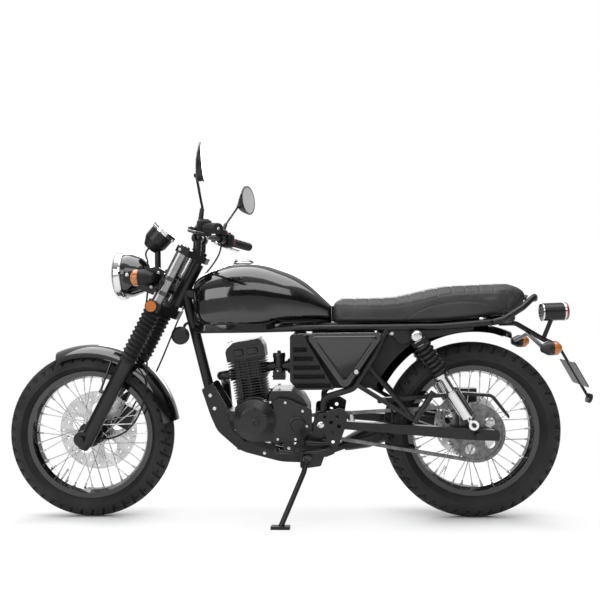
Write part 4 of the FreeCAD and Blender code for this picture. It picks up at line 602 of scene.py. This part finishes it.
def build_headlamp():
    """A reflector, a cap over the bulb and a domed glass with upright flutes."""
    form = bmesh.new()
    lathe(form, [
        (0, -9), (10, -9), (30, -4), (52, 5), (68, 14), (75.5, 19.5), (75.5, 17), (66, 11), (50, 2),
        (30, -7), (10, -9.6)], HEADLAMP, LAMP_AIM, 64)
    reflector = made("headlamp_reflector", form, "steering", "chrome")
    form = bmesh.new()
    lathe(form, [(0, -8), (13, -8), (13, 6), (11, 10), (0, 12)], HEADLAMP, LAMP_AIM, 32)
    made("headlamp_bulb_cap", form, "steering", "zinc_steel")
    form = bmesh.new()
    lathe(form, [
        (75.6, 20), (60, 24.5), (40, 27.5), (20, 28.7), (0, 29), (0, 27), (20, 26.6), (40, 25.5),
        (60, 22.5), (75.6, 18)], HEADLAMP, LAMP_AIM, 64)
    for left in range(-60, 61, 12):
        tall = 0.8 * math.sqrt(70 ** 2 - left ** 2)
        bar(form, HEADLAMP + Vector((22, left, -tall)), HEADLAMP + Vector((22, left, tall)), 0.9, 6)
    glass = made("headlamp_lens", form, "steering", "clear_lens")
    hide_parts("headlamp_glass")
    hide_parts("headlamp_glass")


def build_gauge():
    """A bright ring, a dial with marks and a needle, and the glass over them."""
    form = bmesh.new()
    lathe(form, [
        (48.1, -17), (49.4, -16), (49.4, -10), (48.6, -9), (49.4, -8), (49.4, -1), (47.5, 1), (43.6, 0.6),
        (43.2, -4), (44.5, -4.8)], GAUGE_FACE, GAUGE_AIM, 64)
    made("gauge_ring", form, "steering", "chrome")
    across = LEFT.cross(GAUGE_AIM).normalized()
    start, sweep, marks = -130, 260, 24

    def dial(number):
        """The direction of a mark from the dial's middle."""
        angle = math.radians(start + number * sweep / marks)
        return math.cos(angle) * across + math.sin(angle) * LEFT

    form = bmesh.new()
    plate = GAUGE_FACE - GAUGE_AIM * 4
    for number in range(marks + 1):
        length = 9 if number % 4 == 0 else 5
        bar(form, plate + dial(number) * (40 - length), plate + dial(number) * 40, 0.7, 4)
    made("gauge_marks", form, "steering", "zinc_steel")
    form = bmesh.new()
    needle = GAUGE_FACE - GAUGE_AIM * 3
    bar(form, needle - dial(0) * 8, needle + dial(0) * 33, 0.9, 6)
    lathe(form, [(0, -4.6), (5, -4.6), (5, -2.4), (0, -2)], GAUGE_FACE, GAUGE_AIM, 20)
    made("gauge_needle", form, "steering", "red_lens")
    form = bmesh.new()
    lathe(form, [(43.4, -1), (30, 0), (0, 0.6), (0, -0.8), (30, -1.4), (43.4, -2.4)],
          GAUGE_FACE, GAUGE_AIM, 48)
    made("gauge_glass", form, "steering", "clear_lens")


MIRRORS = {
    # The head's middle from the handlebar's, its toe in degrees, where the stem meets its back, the bulge
    # of the back, and the stem's elbow from its foot.
    "left": ((-86, 372, 207), 4, (21, 0, -42), 4, (-10, 14, 50)),
    "right": ((-135, -372, 193), 19, (44, -8, -22), 0, (-16, -16, 42)),
}


def mirror_back(form, head, aim, back, bulge):
    """The back of a mirror: a cone skewed towards its stem."""
    turn = UP.rotation_difference(aim).to_matrix()
    around = [math.pi * step / 24 for step in range(48)]
    rings = []
    for share in (0, 0.12, 0.3, 0.55, 0.8, 0.94, 1):
        middle = (head - aim * 6) * (1 - share) + back * share - aim * bulge * math.sin(math.pi * share)
        radius = 59 * (1 - share) ** 0.75 + 8 * share
        rings.append([form.verts.new(middle + turn @ Vector((
            radius * math.cos(angle), radius * math.sin(angle), 0))) for angle in around])
    for low, high in zip(rings, rings[1:]):
        for step in range(len(around)):
            after = (step + 1) % len(around)
            form.faces.new([low[step], low[after], high[after], high[step]])
    form.faces.new(rings[-1])


def build_mirrors():
    """Round mirrors, each a plate in a skewed cone that ends in a ball on its stem, with a rubber boot."""
    shells, plates = bmesh.new(), bmesh.new()
    for name, sign in SIDES.items():
        place, toe, joint, bulge, bend = MIRRORS[name]
        head = HANDLEBAR_MIDDLE + Vector(place)
        toe = math.radians(toe)
        aim = Vector((-math.cos(toe), -sign * math.sin(toe), 0.05)).normalized()
        lathe(plates, [(0, 0.2), (54, 0.2), (54, 0.9), (0, 0.9)], head, aim, 64)
        lathe(shells, [(54.1, 0.1), (57, 1.6), (60, 1.2), (60.8, -3), (59, -6)], head, aim, 64)
        back = head + Vector(joint)
        mirror_back(shells, head, aim, back, bulge)
        bmesh.ops.create_uvsphere(shells, u_segments=16, v_segments=10, radius=8.6,
                                  matrix=Matrix.Translation(back))
        base = bar_end(sign) + bar_run(sign) * 190 + UP * 17.6
        elbow = base + Vector(bend)
        wire(shells, [base + (elbow - base) * 0.6, elbow, elbow + (back - elbow) * 0.25,
                      elbow + (back - elbow) * 0.8, back], 4.6)
        lathe(shells, [
            (0, 0), (11, 0), (11, 8), (8.4, 12), (9, 20), (8, 22), (8.6, 34), (7.6, 36), (8, 46), (5.4, 52),
            (0, 52)], base, elbow - base, 24)
    mirrors = made("mirror_shells", shells, "steering", "satin_black", 50)
    made("mirror_plates", plates, "steering", "chrome")
    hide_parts("mirrors")


def lens_rings(name, centre, aim, radius, depth, body, slot, count=3):
    """Raised rings on a moulded lens."""
    form = bmesh.new()
    for number in range(count):
        reach = radius * (0.35 + 0.2 * number)
        rise = depth * (1 - 0.12 * number ** 1.5)
        lathe(form, [(reach - 1.6, rise - 1.4), (reach - 0.6, rise + 0.3), (reach + 0.6, rise + 0.2),
                     (reach + 1.6, rise - 1.6)], centre, aim, 32)
    made(name, form, body, slot)


TAIL_FRONT = Vector((-258, 0, 731))
TAIL_BACK = Vector((-332, 0, 733))


def build_lenses():
    """Rings on the indicators' and the tail lamp's lenses, and round the reflectors beside the fork."""
    for name, sign in SIDES.items():
        lens_rings("front_lens_rings_" + name, fork(607, sign * 168, 78.6), (1, 0, 0), 28, 26,
                   "steering", "amber_lens")
        lens_rings("rear_lens_rings_" + name, (-234, sign * 188, 616), (-1, 0, 0), 24, 27,
                   "frame", "amber_lens")
        form = bmesh.new()
        lathe(form, [(0, -0.5), (22, -0.5), (22, 7), (20.5, 9), (19.6, 8.2), (19.6, 7.6)],
              fork(534, sign * 124.3, 6), LEFT * sign, 40)
        made("reflector_ring_" + name, form, "steering", "black_plastic")
    aim = TAIL_BACK - TAIL_FRONT
    lens_rings("tail_lens_rings", TAIL_BACK, aim, 32, 15, "frame", "red_lens", 4)
    form = bmesh.new()
    lathe(form, [(32, -3), (33.4, -2.4), (33.6, 3), (32, 4)], TAIL_BACK, aim, 48)
    lathe(form, [(31, 1), (33.2, 0), (33.2, -4), (31, -5)], TAIL_FRONT, aim, 48)
    made("tail_lamp_rings", form, "frame", "chrome")


# Controls

def build_controls():
    """Switch boxes, grip rings, perch bolts, the brake lever's bright blade and the red stop switch."""
    boxes, bright, red = bmesh.new(), bmesh.new(), bmesh.new()
    for sign in SIDES.values():
        end, run = bar_end(sign), bar_run(sign)
        over = (UP - run * UP.dot(run)).normalized()
        turn = Matrix((run, over.cross(run), over)).transposed()
        start = end + run * 126
        box(boxes, start + run * 19 + over * 1, (38, 46, 54), 9, turn)
        box(boxes, start + run * 14 + over * 24, (20, 26, 14), 4, turn)
        lathe(boxes, [(16.8, -6), (20, -6), (20, 0), (16.8, 1)], end + run * 125, run, 32)
        lathe(boxes, [(0, -9), (13, -9), (16.6, -7), (16.6, -3), (11.4, -2)], end, run, 32)
        for along in range(8, 109, 10):
            lathe(boxes, [(16.4, -2.6), (17.4, -1.8), (17.4, 1.8), (16.4, 2.6)], end + run * along, run, 24)
        bolt(bright, end - run * 9, -run, 4.5)
        perch = start + run * 64
        bolt(bright, perch + over * 17, over, 4)
        pivot = start + run * 60 + Vector((34, 0, -2))
        bolt(bright, pivot + UP * 7, UP, 5)
        for spot in (-9, 9):
            bolt(bright, perch + Vector((16, 0, 0)) + over * spot, Vector((1, 0, 0)), 3.2)
        if sign < 0:
            wire(bright, [pivot - run * 6 + Vector((2, 0, -1)), start + run * 14 + Vector((52, 0, -6)),
                          start - run * 40 + Vector((55, 0, -9)), start - run * 84 + Vector((53, 0, -12)),
                          start - run * 127 + Vector((42, 0, -16))], 5.9)
            box(red, start + run * 12 + over * 33, (16, 12, 8), 3, turn)
            lathe(red, [(17.2, -2), (20.6, -2), (20.6, 2), (17.2, 2)], end + run * 121, run, 32)
            box(boxes, perch + over * 26, (46, 34, 24), 6, turn)
            box(bright, perch + over * 39, (36, 24, 2.4), 1, turn)
    made("switch_housings", boxes, "steering", "black_plastic")
    made("control_brightwork", bright, "steering", "zinc_steel")
    made("stop_switch", red, "steering", "red_lens")


# Fasteners

FRAME_BOLTS = (
    # Ahead, out to each side, height, radius.
    (935, 58, 448, 6.5), (920, 58, 401, 6.5), (742, 58, 241, 5.5), (655, 58, 258, 5.5), (289, 112, 666, 6),
    (530, 124, 255, 7), (590, 131, 245, 8))
ENGINE_BOLTS = (
    # Ahead, left, height.
    (715, 108, 430), (662, 108, 428), (602, 108, 398), (588, 108, 345), (628, 108, 300), (690, 108, 300),
    (782, 86, 438), (836, 84, 398), (838, 84, 330))
ENGINE_BOLT_RADIUS = 4.5
CLUTCH_MIDDLE = Vector((704, -82, 372))
CLUTCH_BOLTS = 7
SHOCK_TOP = Vector((209, 0, 659))
SHOCK_FOOT = Vector((20, 0, 354))


def build_fasteners():
    """Bolts of the frame and the engine, with the caps of the pivot and of the shocks' upper ends."""
    form = bmesh.new()
    for ahead, out, height, radius in FRAME_BOLTS:
        for sign in SIDES.values():
            bolt(form, (ahead, sign * out, height), LEFT * sign, radius)
    for sign in SIDES.values():
        lathe(form, [(0, 0), (13, 0), (13, 2), (10, 5), (0, 6.4)], (538, sign * 141, 357), LEFT * sign, 32)
        lathe(form, [(0, 0), (16.5, 0), (16.5, 5), (14, 7), (6, 7.4), (0, 7.4)],
              SHOCK_TOP + LEFT * sign * 158, LEFT * sign, 32)
    for place in ENGINE_BOLTS:
        bolt(form, place, LEFT, ENGINE_BOLT_RADIUS)
    for number in range(CLUTCH_BOLTS):
        angle = math.radians(number * 360 / CLUTCH_BOLTS + 12)
        bolt(form, CLUTCH_MIDDLE + Vector((76 * math.cos(angle), -34, 76 * math.sin(angle))),
             -LEFT, ENGINE_BOLT_RADIUS)
    made("frame_fasteners", form, "frame", "zinc_steel")


def split_fasteners():
    """Bolts and collars that steer with the fork."""
    form = bmesh.new()
    for sign in SIDES.values():
        for up in (591, 648):
            bolt(form, fork(up, sign * 102, 43), LEFT * sign, 5.4)
        bolt(form, HEADLAMP + Vector((-38, sign * 103, 0)), LEFT * sign, 6.5)
        bolt(form, fork(757, sign * 121, 8), LEFT * sign, 5)
        lathe(form, [(0, 0), (16, 0), (16, 4), (10, 6), (0, 6)], fork(773, sign * 95), FORK_UP, 24)
        for shift in (-13, 13):
            bolt(form, HANDLEBAR_MIDDLE + Vector((shift, sign * 42, 16)), UP, 4.2)
        if sign < 0:
            for along in (76, 126):
                bolt(form, fork(along, -107, -50), -LEFT, 5)
        bolt(form, fork(305, sign * 62, 0), -LEFT * sign, 3)
        bolt(form, fork(176, sign * 93, 36), LEFT * sign, 4)
    made("fork_fasteners", form, "steering", "zinc_steel")
    form = bmesh.new()
    for sign in SIDES.values():
        lathe(form, [(25.9, -14), (28, -13), (28, -3), (26, 0), (19, 1)], fork(327, sign * 95), FORK_UP, 40)
        lathe(form, [(0, 0), (12, 0), (12, 6), (9, 9), (0, 9)],
              FRONT_AXLE + LEFT * sign * 120, LEFT * sign, 24)
    made("slider_collars", form, "steering", "black_plastic")


def build_covers():
    """Black covers over the shocks' upper ends and the rubber between tank and seat."""
    form = bmesh.new()
    for sign in SIDES.values():
        lathe(form, [(18.2, 15.6), (26, 15.6), (28.8, 18), (28.8, 32), (27, 34.4), (18, 34.4)],
              SHOCK_TOP + LEFT * sign * 140, (SHOCK_FOOT - SHOCK_TOP).normalized(), 48)
    box(form, (492, 0, 735), (9, 128, 56), 3)
    made("shock_covers", form, "frame", "soft_rubber")


# Engine

CYLINDER_LEAN = math.radians(7.7)
CYLINDER_FOOT = Vector((786, 0, 436))
CYLINDER_UP = Vector((math.sin(CYLINDER_LEAN), 0, math.cos(CYLINDER_LEAN)))
CYLINDER_AHEAD = Vector((math.cos(CYLINDER_LEAN), 0, -math.sin(CYLINDER_LEAN)))
CYLINDER_TURN = Matrix((CYLINDER_AHEAD, LEFT, CYLINDER_UP)).transposed()
CARBURETTOR = Vector((690, 0, 547))


def up_cylinder(height, ahead, left):
    """A point of the cylinder: up its axis from its foot, ahead of it and to its left."""
    return CYLINDER_FOOT + CYLINDER_UP * height + CYLINDER_AHEAD * ahead + LEFT * left


def build_engine_details():
    """Rims and plugs of the covers, webs between the fins and the rocker cover's bolts."""
    form = bmesh.new()
    lathe(form, [(0, 50), (14, 50), (14, 58), (11, 60), (8, 60), (7, 57), (0, 57)],
          (764, 82, 364), LEFT, 40)
    lathe(form, [(0, 46), (9, 46), (9, 55), (7, 56.5), (0, 56.5)], (774, 82, 410), LEFT, 32)
    lathe(form, [(70, 33), (74.8, 32), (75.4, 26), (75.4, 4), (77.5, 2), (77.5, -3)],
          (770, 82, 368), LEFT, 72)
    lathe(form, [(0, 0), (30, 0), (30, 6), (27, 8), (23, 8), (21, 5), (0, 5)], (622, 108, 350), LEFT, 56)
    lathe(form, [(0, 50), (30, 50), (30, 57), (26, 60), (0, 60)], CLUTCH_MIDDLE, -LEFT, 48)
    box(form, (770, 133, 388), (92, 8, 3.5), 1.4)
    made("engine_cover_details", form, "frame", "engine_black")
    form = bmesh.new()
    for sign in SIDES.values():
        for shift in (-38, -4, 30):
            box(form, up_cylinder(74, shift, sign * 51.5), (4, 7, 132), 1, CYLINDER_TURN)
    for shift in (-50, 50):
        for sign in SIDES.values():
            box(form, up_cylinder(148, shift, sign * 40), (9, 9, 20), 2, CYLINDER_TURN)
    made("fin_bridges", form, "frame", "engine_black")
    form = bmesh.new()
    for shift in (-54, 56):
        for sign in SIDES.values():
            bolt(form, up_cylinder(207, shift, sign * 36), CYLINDER_UP, 5)
    made("head_bolts", form, "frame", "zinc_steel")


def build_head_and_carburettor():
    """Tappet covers and a gasket line on the head; caps, clamps and bowl screws on the carburettor."""
    form, bright = bmesh.new(), bmesh.new()
    for sign in SIDES.values():
        for shift, wide in ((-26, 40), (24, 34)):
            box(form, up_cylinder(168, shift, sign * 48), (wide, 12, 24), 5, CYLINDER_TURN)
        box(form, up_cylinder(141, 0, sign * 49), (138, 7, 3), 1, CYLINDER_TURN)
        box(form, up_cylinder(188, 0, sign * 46), (98, 8, 3), 1, CYLINDER_TURN)
    lathe(form, [(21.2, 30), (23, 30), (23, 43), (20, 48), (7, 49), (6, 56), (0, 57)], CARBURETTOR, UP, 40)
    lathe(form, [(21.2, 8), (24, 8), (24, 12), (21.2, 12)], CARBURETTOR, UP, 40)
    for behind, radius in ((27, 17.2), (38, 25.2), (50, 25.2)):
        lathe(form, [(radius, -3), (radius + 2.6, -3), (radius + 2.6, 3), (radius, 3)],
              CARBURETTOR - Vector((behind, 0, 0)), (1, 0, 0), 32)
    box(form, CARBURETTOR - UP * 36, (50, 52, 4), 1.5)
    box(form, CARBURETTOR + Vector((0, 25, -16)), (26, 8, 22), 3)
    for shift in (-19, 19):
        bolt(bright, CARBURETTOR + Vector((shift, 21, -34)), -UP, 3)
    bolt(bright, CARBURETTOR + Vector((4, 28, -16)), LEFT, 4)
    bar(bright, CARBURETTOR - UP * 64, CARBURETTOR - UP * 72, 6, 6)
    made("head_details", form, "frame", "engine_black")
    made("carburettor_screws", bright, "frame", "zinc_steel")


# Side covers and tank

SLOT_BACKS = (583, 562, 539, 522, 502)
SLOT_FRONT = 630
SLOT_TOP = 615
SLOT_PITCH = 31
COVER_LOCK = (415, 538)


def build_louvre_mesh():
    """Crossing wires behind the slots of the side panels, and lips over and under each slot."""
    form = bmesh.new()
    for sign in SIDES.values():
        for number, back in enumerate(SLOT_BACKS):
            middle = SLOT_TOP - SLOT_PITCH * number
            for ahead in range(back + 3, SLOT_FRONT - 2, 6):
                for lean in (-3.5, 3.5):
                    bar(form, (ahead - lean, sign * 128, middle - 7),
                        (ahead + lean, sign * 128, middle + 7), 0.9, 4)
            for edge in (-8.4, 8.4):
                box(form, ((back + SLOT_FRONT) / 2, sign * 137.6, middle + edge),
                    (SLOT_FRONT - back + 4, 2.4, 2.6), 0.9)
    made("louvre_mesh", form, "frame", "black_plastic")


def rounded_triangle(corners, inset, radius, steps=8):
    """The outline of a triangle set in from its edges, with rounded corners."""
    points = [Vector(corner) for corner in corners]
    order = 1 if (points[1] - points[0]).cross(points[2] - points[1]) > 0 else -1
    outline = []
    for number, corner in enumerate(points):
        before = (points[number - 1] - corner).normalized()
        after = (points[(number + 1) % 3] - corner).normalized()
        half = before.angle(after) / 2
        inward = (before + after).normalized()
        middle = corner + inward * ((inset + radius) / math.sin(half))
        start = math.atan2(-inward.y, -inward.x)
        sweep = math.pi / 2 - half
        for step in range(steps + 1):
            angle = start + order * sweep * (2 * step / steps - 1)
            outline.append(middle + radius * Vector((math.cos(angle), math.sin(angle))))
    return outline


def build_side_cover_trim():
    """The raised panel of each side cover, with a round lock."""
    corners = ((590, 670), (316, 670), (455, 473))
    levels = ((9, 149.4), (10, 151.4), (12, 152.6), (17, 153), (20, 151.6))
    form, ring, key = bmesh.new(), bmesh.new(), bmesh.new()
    for sign in SIDES.values():
        rings = [[form.verts.new((point.x, sign * left, point.y))
                  for point in rounded_triangle(corners, inset, 10)] for inset, left in levels]
        for low, high in zip(rings, rings[1:]):
            for number in range(len(low)):
                after = (number + 1) % len(low)
                form.faces.new([low[number], low[after], high[after], high[number]])
        form.faces.new(rings[-1])
        ahead, height = COVER_LOCK
        lathe(ring, [(0, -2), (12, -2), (12, 3), (10, 4.4), (8.4, 3.4), (8.4, 0)],
              (ahead, sign * 151, height), LEFT * sign, 40)
        lathe(key, [(0, 0), (8.2, 0), (8.2, 3), (7, 4), (3, 4), (2.6, 2), (0, 2)],
              (ahead, sign * 151.4, height), LEFT * sign, 32)
    made("side_cover_panels", form, "frame", "black_paint")
    made("side_lock_rings", ring, "frame", "soft_rubber")
    made("side_lock_barrels", key, "frame", "zinc_steel")


def build_tank_trim():
    """The fuel cap's outer ring and its lock."""
    form = bmesh.new()
    cap = Vector((814, 0, 922.6))
    lathe(form, [(37.2, -1), (40.5, -1.5), (41.5, 0.5), (40, 2.6), (37.4, 3)], cap, UP, 64)
    lathe(form, [(0, 14), (9, 14), (9, 15.6), (7.6, 16.4), (0, 16.4)], cap, UP, 32)
    made("fuel_cap_trim", form, "frame", "chrome")


# Studio

HALF_WHEELBASE = (FRONT_AXLE.x - REAR_AXLE.x) / 2000
FLOOR_MIDDLE = joint_place("rear_wheel_spin").x + HALF_WHEELBASE
FLOOR_REACH = 60
FLOOR_GLOSS = 0.25
LAMPS = (
    # Name, place, aim, width, height, watts.
    ("top_box", (0.2, 0.5, 3.6), (0, 0, 0.5), 5.0, 3.0, 170),
    ("side_box", (-0.4, 4.2, 2.4), (0, 0, 0.6), 3.6, 1.6, 50),
    ("front_box", (2.5, 3.0, 1.4), (0.3, 0, 0.8), 2.6, 1.5, 45),
    ("back_box", (0.0, -3.2, 2.4), (0, 0, 0.7), 3.6, 1.4, 70),
)


def math_node(nodes, links, operation, first, second=0):
    """The result of a sum on two sockets or numbers."""
    node = nodes.new("ShaderNodeMath")
    node.operation = operation
    for socket, value in zip(node.inputs, (first, second)):
        if isinstance(value, (int, float)):
            socket.default_value = value
        else:
            links.new(value, socket)
    return node.outputs[0]


def ramped(nodes, links, value, start, end, low, high):
    """A value spread smoothly from low at start to high at end."""
    node = nodes.new("ShaderNodeMapRange")
    node.interpolation_type = "SMOOTHSTEP"
    for name, number in (("From Min", start), ("From Max", end), ("To Min", low), ("To Max", high)):
        node.inputs[name].default_value = number
    links.new(value, node.inputs["Value"])
    return node.outputs["Result"]


def background_rays(nodes, links, seen):
    """1 for the rays of the camera and those through clear material, which see plain white."""
    return math_node(nodes, links, "MAXIMUM",
                     seen.outputs["Is Camera Ray"], seen.outputs["Is Transmission Ray"])


def backdrop_and_painted_light_share(nodes, links):
    """How much of the floor glows plain white: little along the wheels, where the shadow shows, all far off, and
    much between and around the wheels, where the glow is painted light over the machine's shadow.
    """
    place = nodes.new("ShaderNodeTexCoord")
    moved = nodes.new("ShaderNodeVectorMath")
    moved.operation = "SUBTRACT"
    moved.inputs[1].default_value = (FLOOR_MIDDLE, 0, 0)
    links.new(place.outputs["Object"], moved.inputs[0])
    distance = nodes.new("ShaderNodeVectorMath")
    distance.operation = "LENGTH"
    links.new(moved.outputs[0], distance.inputs[0])
    far = ramped(nodes, links, distance.outputs["Value"], 1.2, 2.2, 0.0, 1.0)
    parts = nodes.new("ShaderNodeSeparateXYZ")
    links.new(moved.outputs[0], parts.inputs[0])
    ahead = math_node(nodes, links, "ABSOLUTE", parts.outputs["X"])
    past_wheel = math_node(nodes, links, "SUBTRACT", ahead, HALF_WHEELBASE)
    # Painted light: away from the wheels the floor glows white over the machine's shadow and lightens it; only
    # along the wheels does the shadow show in full.
    painted_light_off_wheels = ramped(nodes, links, math_node(nodes, links, "ABSOLUTE", past_wheel), 0.04, 0.42, 0.0, 0.78)
    return math_node(nodes, links, "MAXIMUM", painted_light_off_wheels, far)


def white_floor():
    """A pale floor that runs to the horizon and keeps the machine's shadow along the wheels; elsewhere its glow is
    painted light over that shadow.
    """
    mesh = bpy.data.meshes.new("floor")
    signs = ((-1, -1), (1, -1), (1, 1), (-1, 1))
    corners = [(ahead * FLOOR_REACH, left * FLOOR_REACH, 0) for ahead, left in signs]
    mesh.from_pydata(corners, [], [(0, 1, 2, 3)])
    floor = bpy.data.objects.new("floor", mesh)
    bpy.context.scene.collection.objects.link(floor)
    material, nodes, links, shader = new_material("floor_white")
    shader.inputs["Base Color"].default_value = (0.86, 0.86, 0.86, 1)
    shader.inputs["Roughness"].default_value = 0.9
    shader.inputs["Specular IOR Level"].default_value = 0.1
    glow = nodes.new("ShaderNodeEmission")
    glow.inputs["Strength"].default_value = 1.0
    mix = nodes.new("ShaderNodeMixShader")
    seen = nodes.new("ShaderNodeLightPath")
    gloss = math_node(nodes, links, "MULTIPLY", seen.outputs["Is Glossy Ray"], FLOOR_GLOSS)
    shown = math_node(nodes, links, "MAXIMUM", background_rays(nodes, links, seen), gloss)
    links.new(math_node(nodes, links, "MULTIPLY", backdrop_and_painted_light_share(nodes, links), shown), mix.inputs[0])
    links.new(shader.outputs[0], mix.inputs[1])
    links.new(glow.outputs[0], mix.inputs[2])
    links.new(mix.outputs[0], nodes["Material Output"].inputs["Surface"])
    mesh.materials.append(material)


def soft_light(name, place, aim, width, height, power):
    """A softbox that points at aim."""
    data = bpy.data.lights.new(name, "AREA")
    data.shape = "RECTANGLE"
    data.size = width
    data.size_y = height
    data.energy = power
    lamp = bpy.data.objects.new(name, data)
    lamp.location = place
    lamp.rotation_euler = (Vector(aim) - Vector(place)).to_track_quat("-Z", "Y").to_euler()
    bpy.context.scene.collection.objects.link(lamp)


def build_world():
    """White for the camera, a dim fill for the light, and for gloss a room white overhead and behind."""
    world = bpy.context.scene.world or bpy.data.worlds.new("studio")
    bpy.context.scene.world = world
    world.use_nodes = True
    nodes, links = world.node_tree.nodes, world.node_tree.links
    nodes.clear()
    fill = nodes.new("ShaderNodeBackground")
    fill.inputs["Color"].default_value = (0.55, 0.56, 0.58, 1)
    fill.inputs["Strength"].default_value = 0.55
    white = nodes.new("ShaderNodeBackground")
    white.inputs["Color"].default_value = (1, 1, 1, 1)
    dome = nodes.new("ShaderNodeBackground")
    place = nodes.new("ShaderNodeTexCoord")
    parts = nodes.new("ShaderNodeSeparateXYZ")
    links.new(place.outputs["Generated"], parts.inputs[0])
    overhead = ramped(nodes, links, parts.outputs["Z"], 0.15, 0.8, 0.05, 0.9)
    behind = ramped(nodes, links, parts.outputs["Y"], -0.25, -0.7, 0.0, 0.85)
    links.new(math_node(nodes, links, "MAXIMUM", overhead, behind), dome.inputs["Strength"])
    seen = nodes.new("ShaderNodeLightPath")
    gloss = nodes.new("ShaderNodeMixShader")
    links.new(seen.outputs["Is Glossy Ray"], gloss.inputs[0])
    links.new(fill.outputs[0], gloss.inputs[1])
    links.new(dome.outputs[0], gloss.inputs[2])
    mix = nodes.new("ShaderNodeMixShader")
    output = nodes.new("ShaderNodeOutputWorld")
    links.new(background_rays(nodes, links, seen), mix.inputs[0])
    links.new(gloss.outputs[0], mix.inputs[1])
    links.new(white.outputs[0], mix.inputs[2])
    links.new(mix.outputs[0], output.inputs["Surface"])


def build_studio():
    """The floor, the world and the softboxes."""
    white_floor()
    build_world()
    for lamp in LAMPS:
        soft_light(*lamp)


build_camera()
build_cords()
dress_nodes()
tyre("front_tyre_tread", "front_tyre", FRONT_AXLE, 304, 110, 58, "front_wheel")
tyre("rear_tyre_tread", "rear_tyre", REAR_AXLE, 314, 120, 66, "rear_wheel")
wheel_details("front_wheel", FRONT_AXLE, 56, -62, "front_wheel")
wheel_details("rear_wheel", REAR_AXLE, 62, -86, "rear_wheel")
build_seat()
build_headlamp()
build_gauge()
build_mirrors()
build_lenses()
build_controls()
build_fasteners()
split_fasteners()
build_covers()
build_engine_details()
build_head_and_carburettor()
build_louvre_mesh()
build_side_cover_trim()
build_tank_trim()
build_studio()
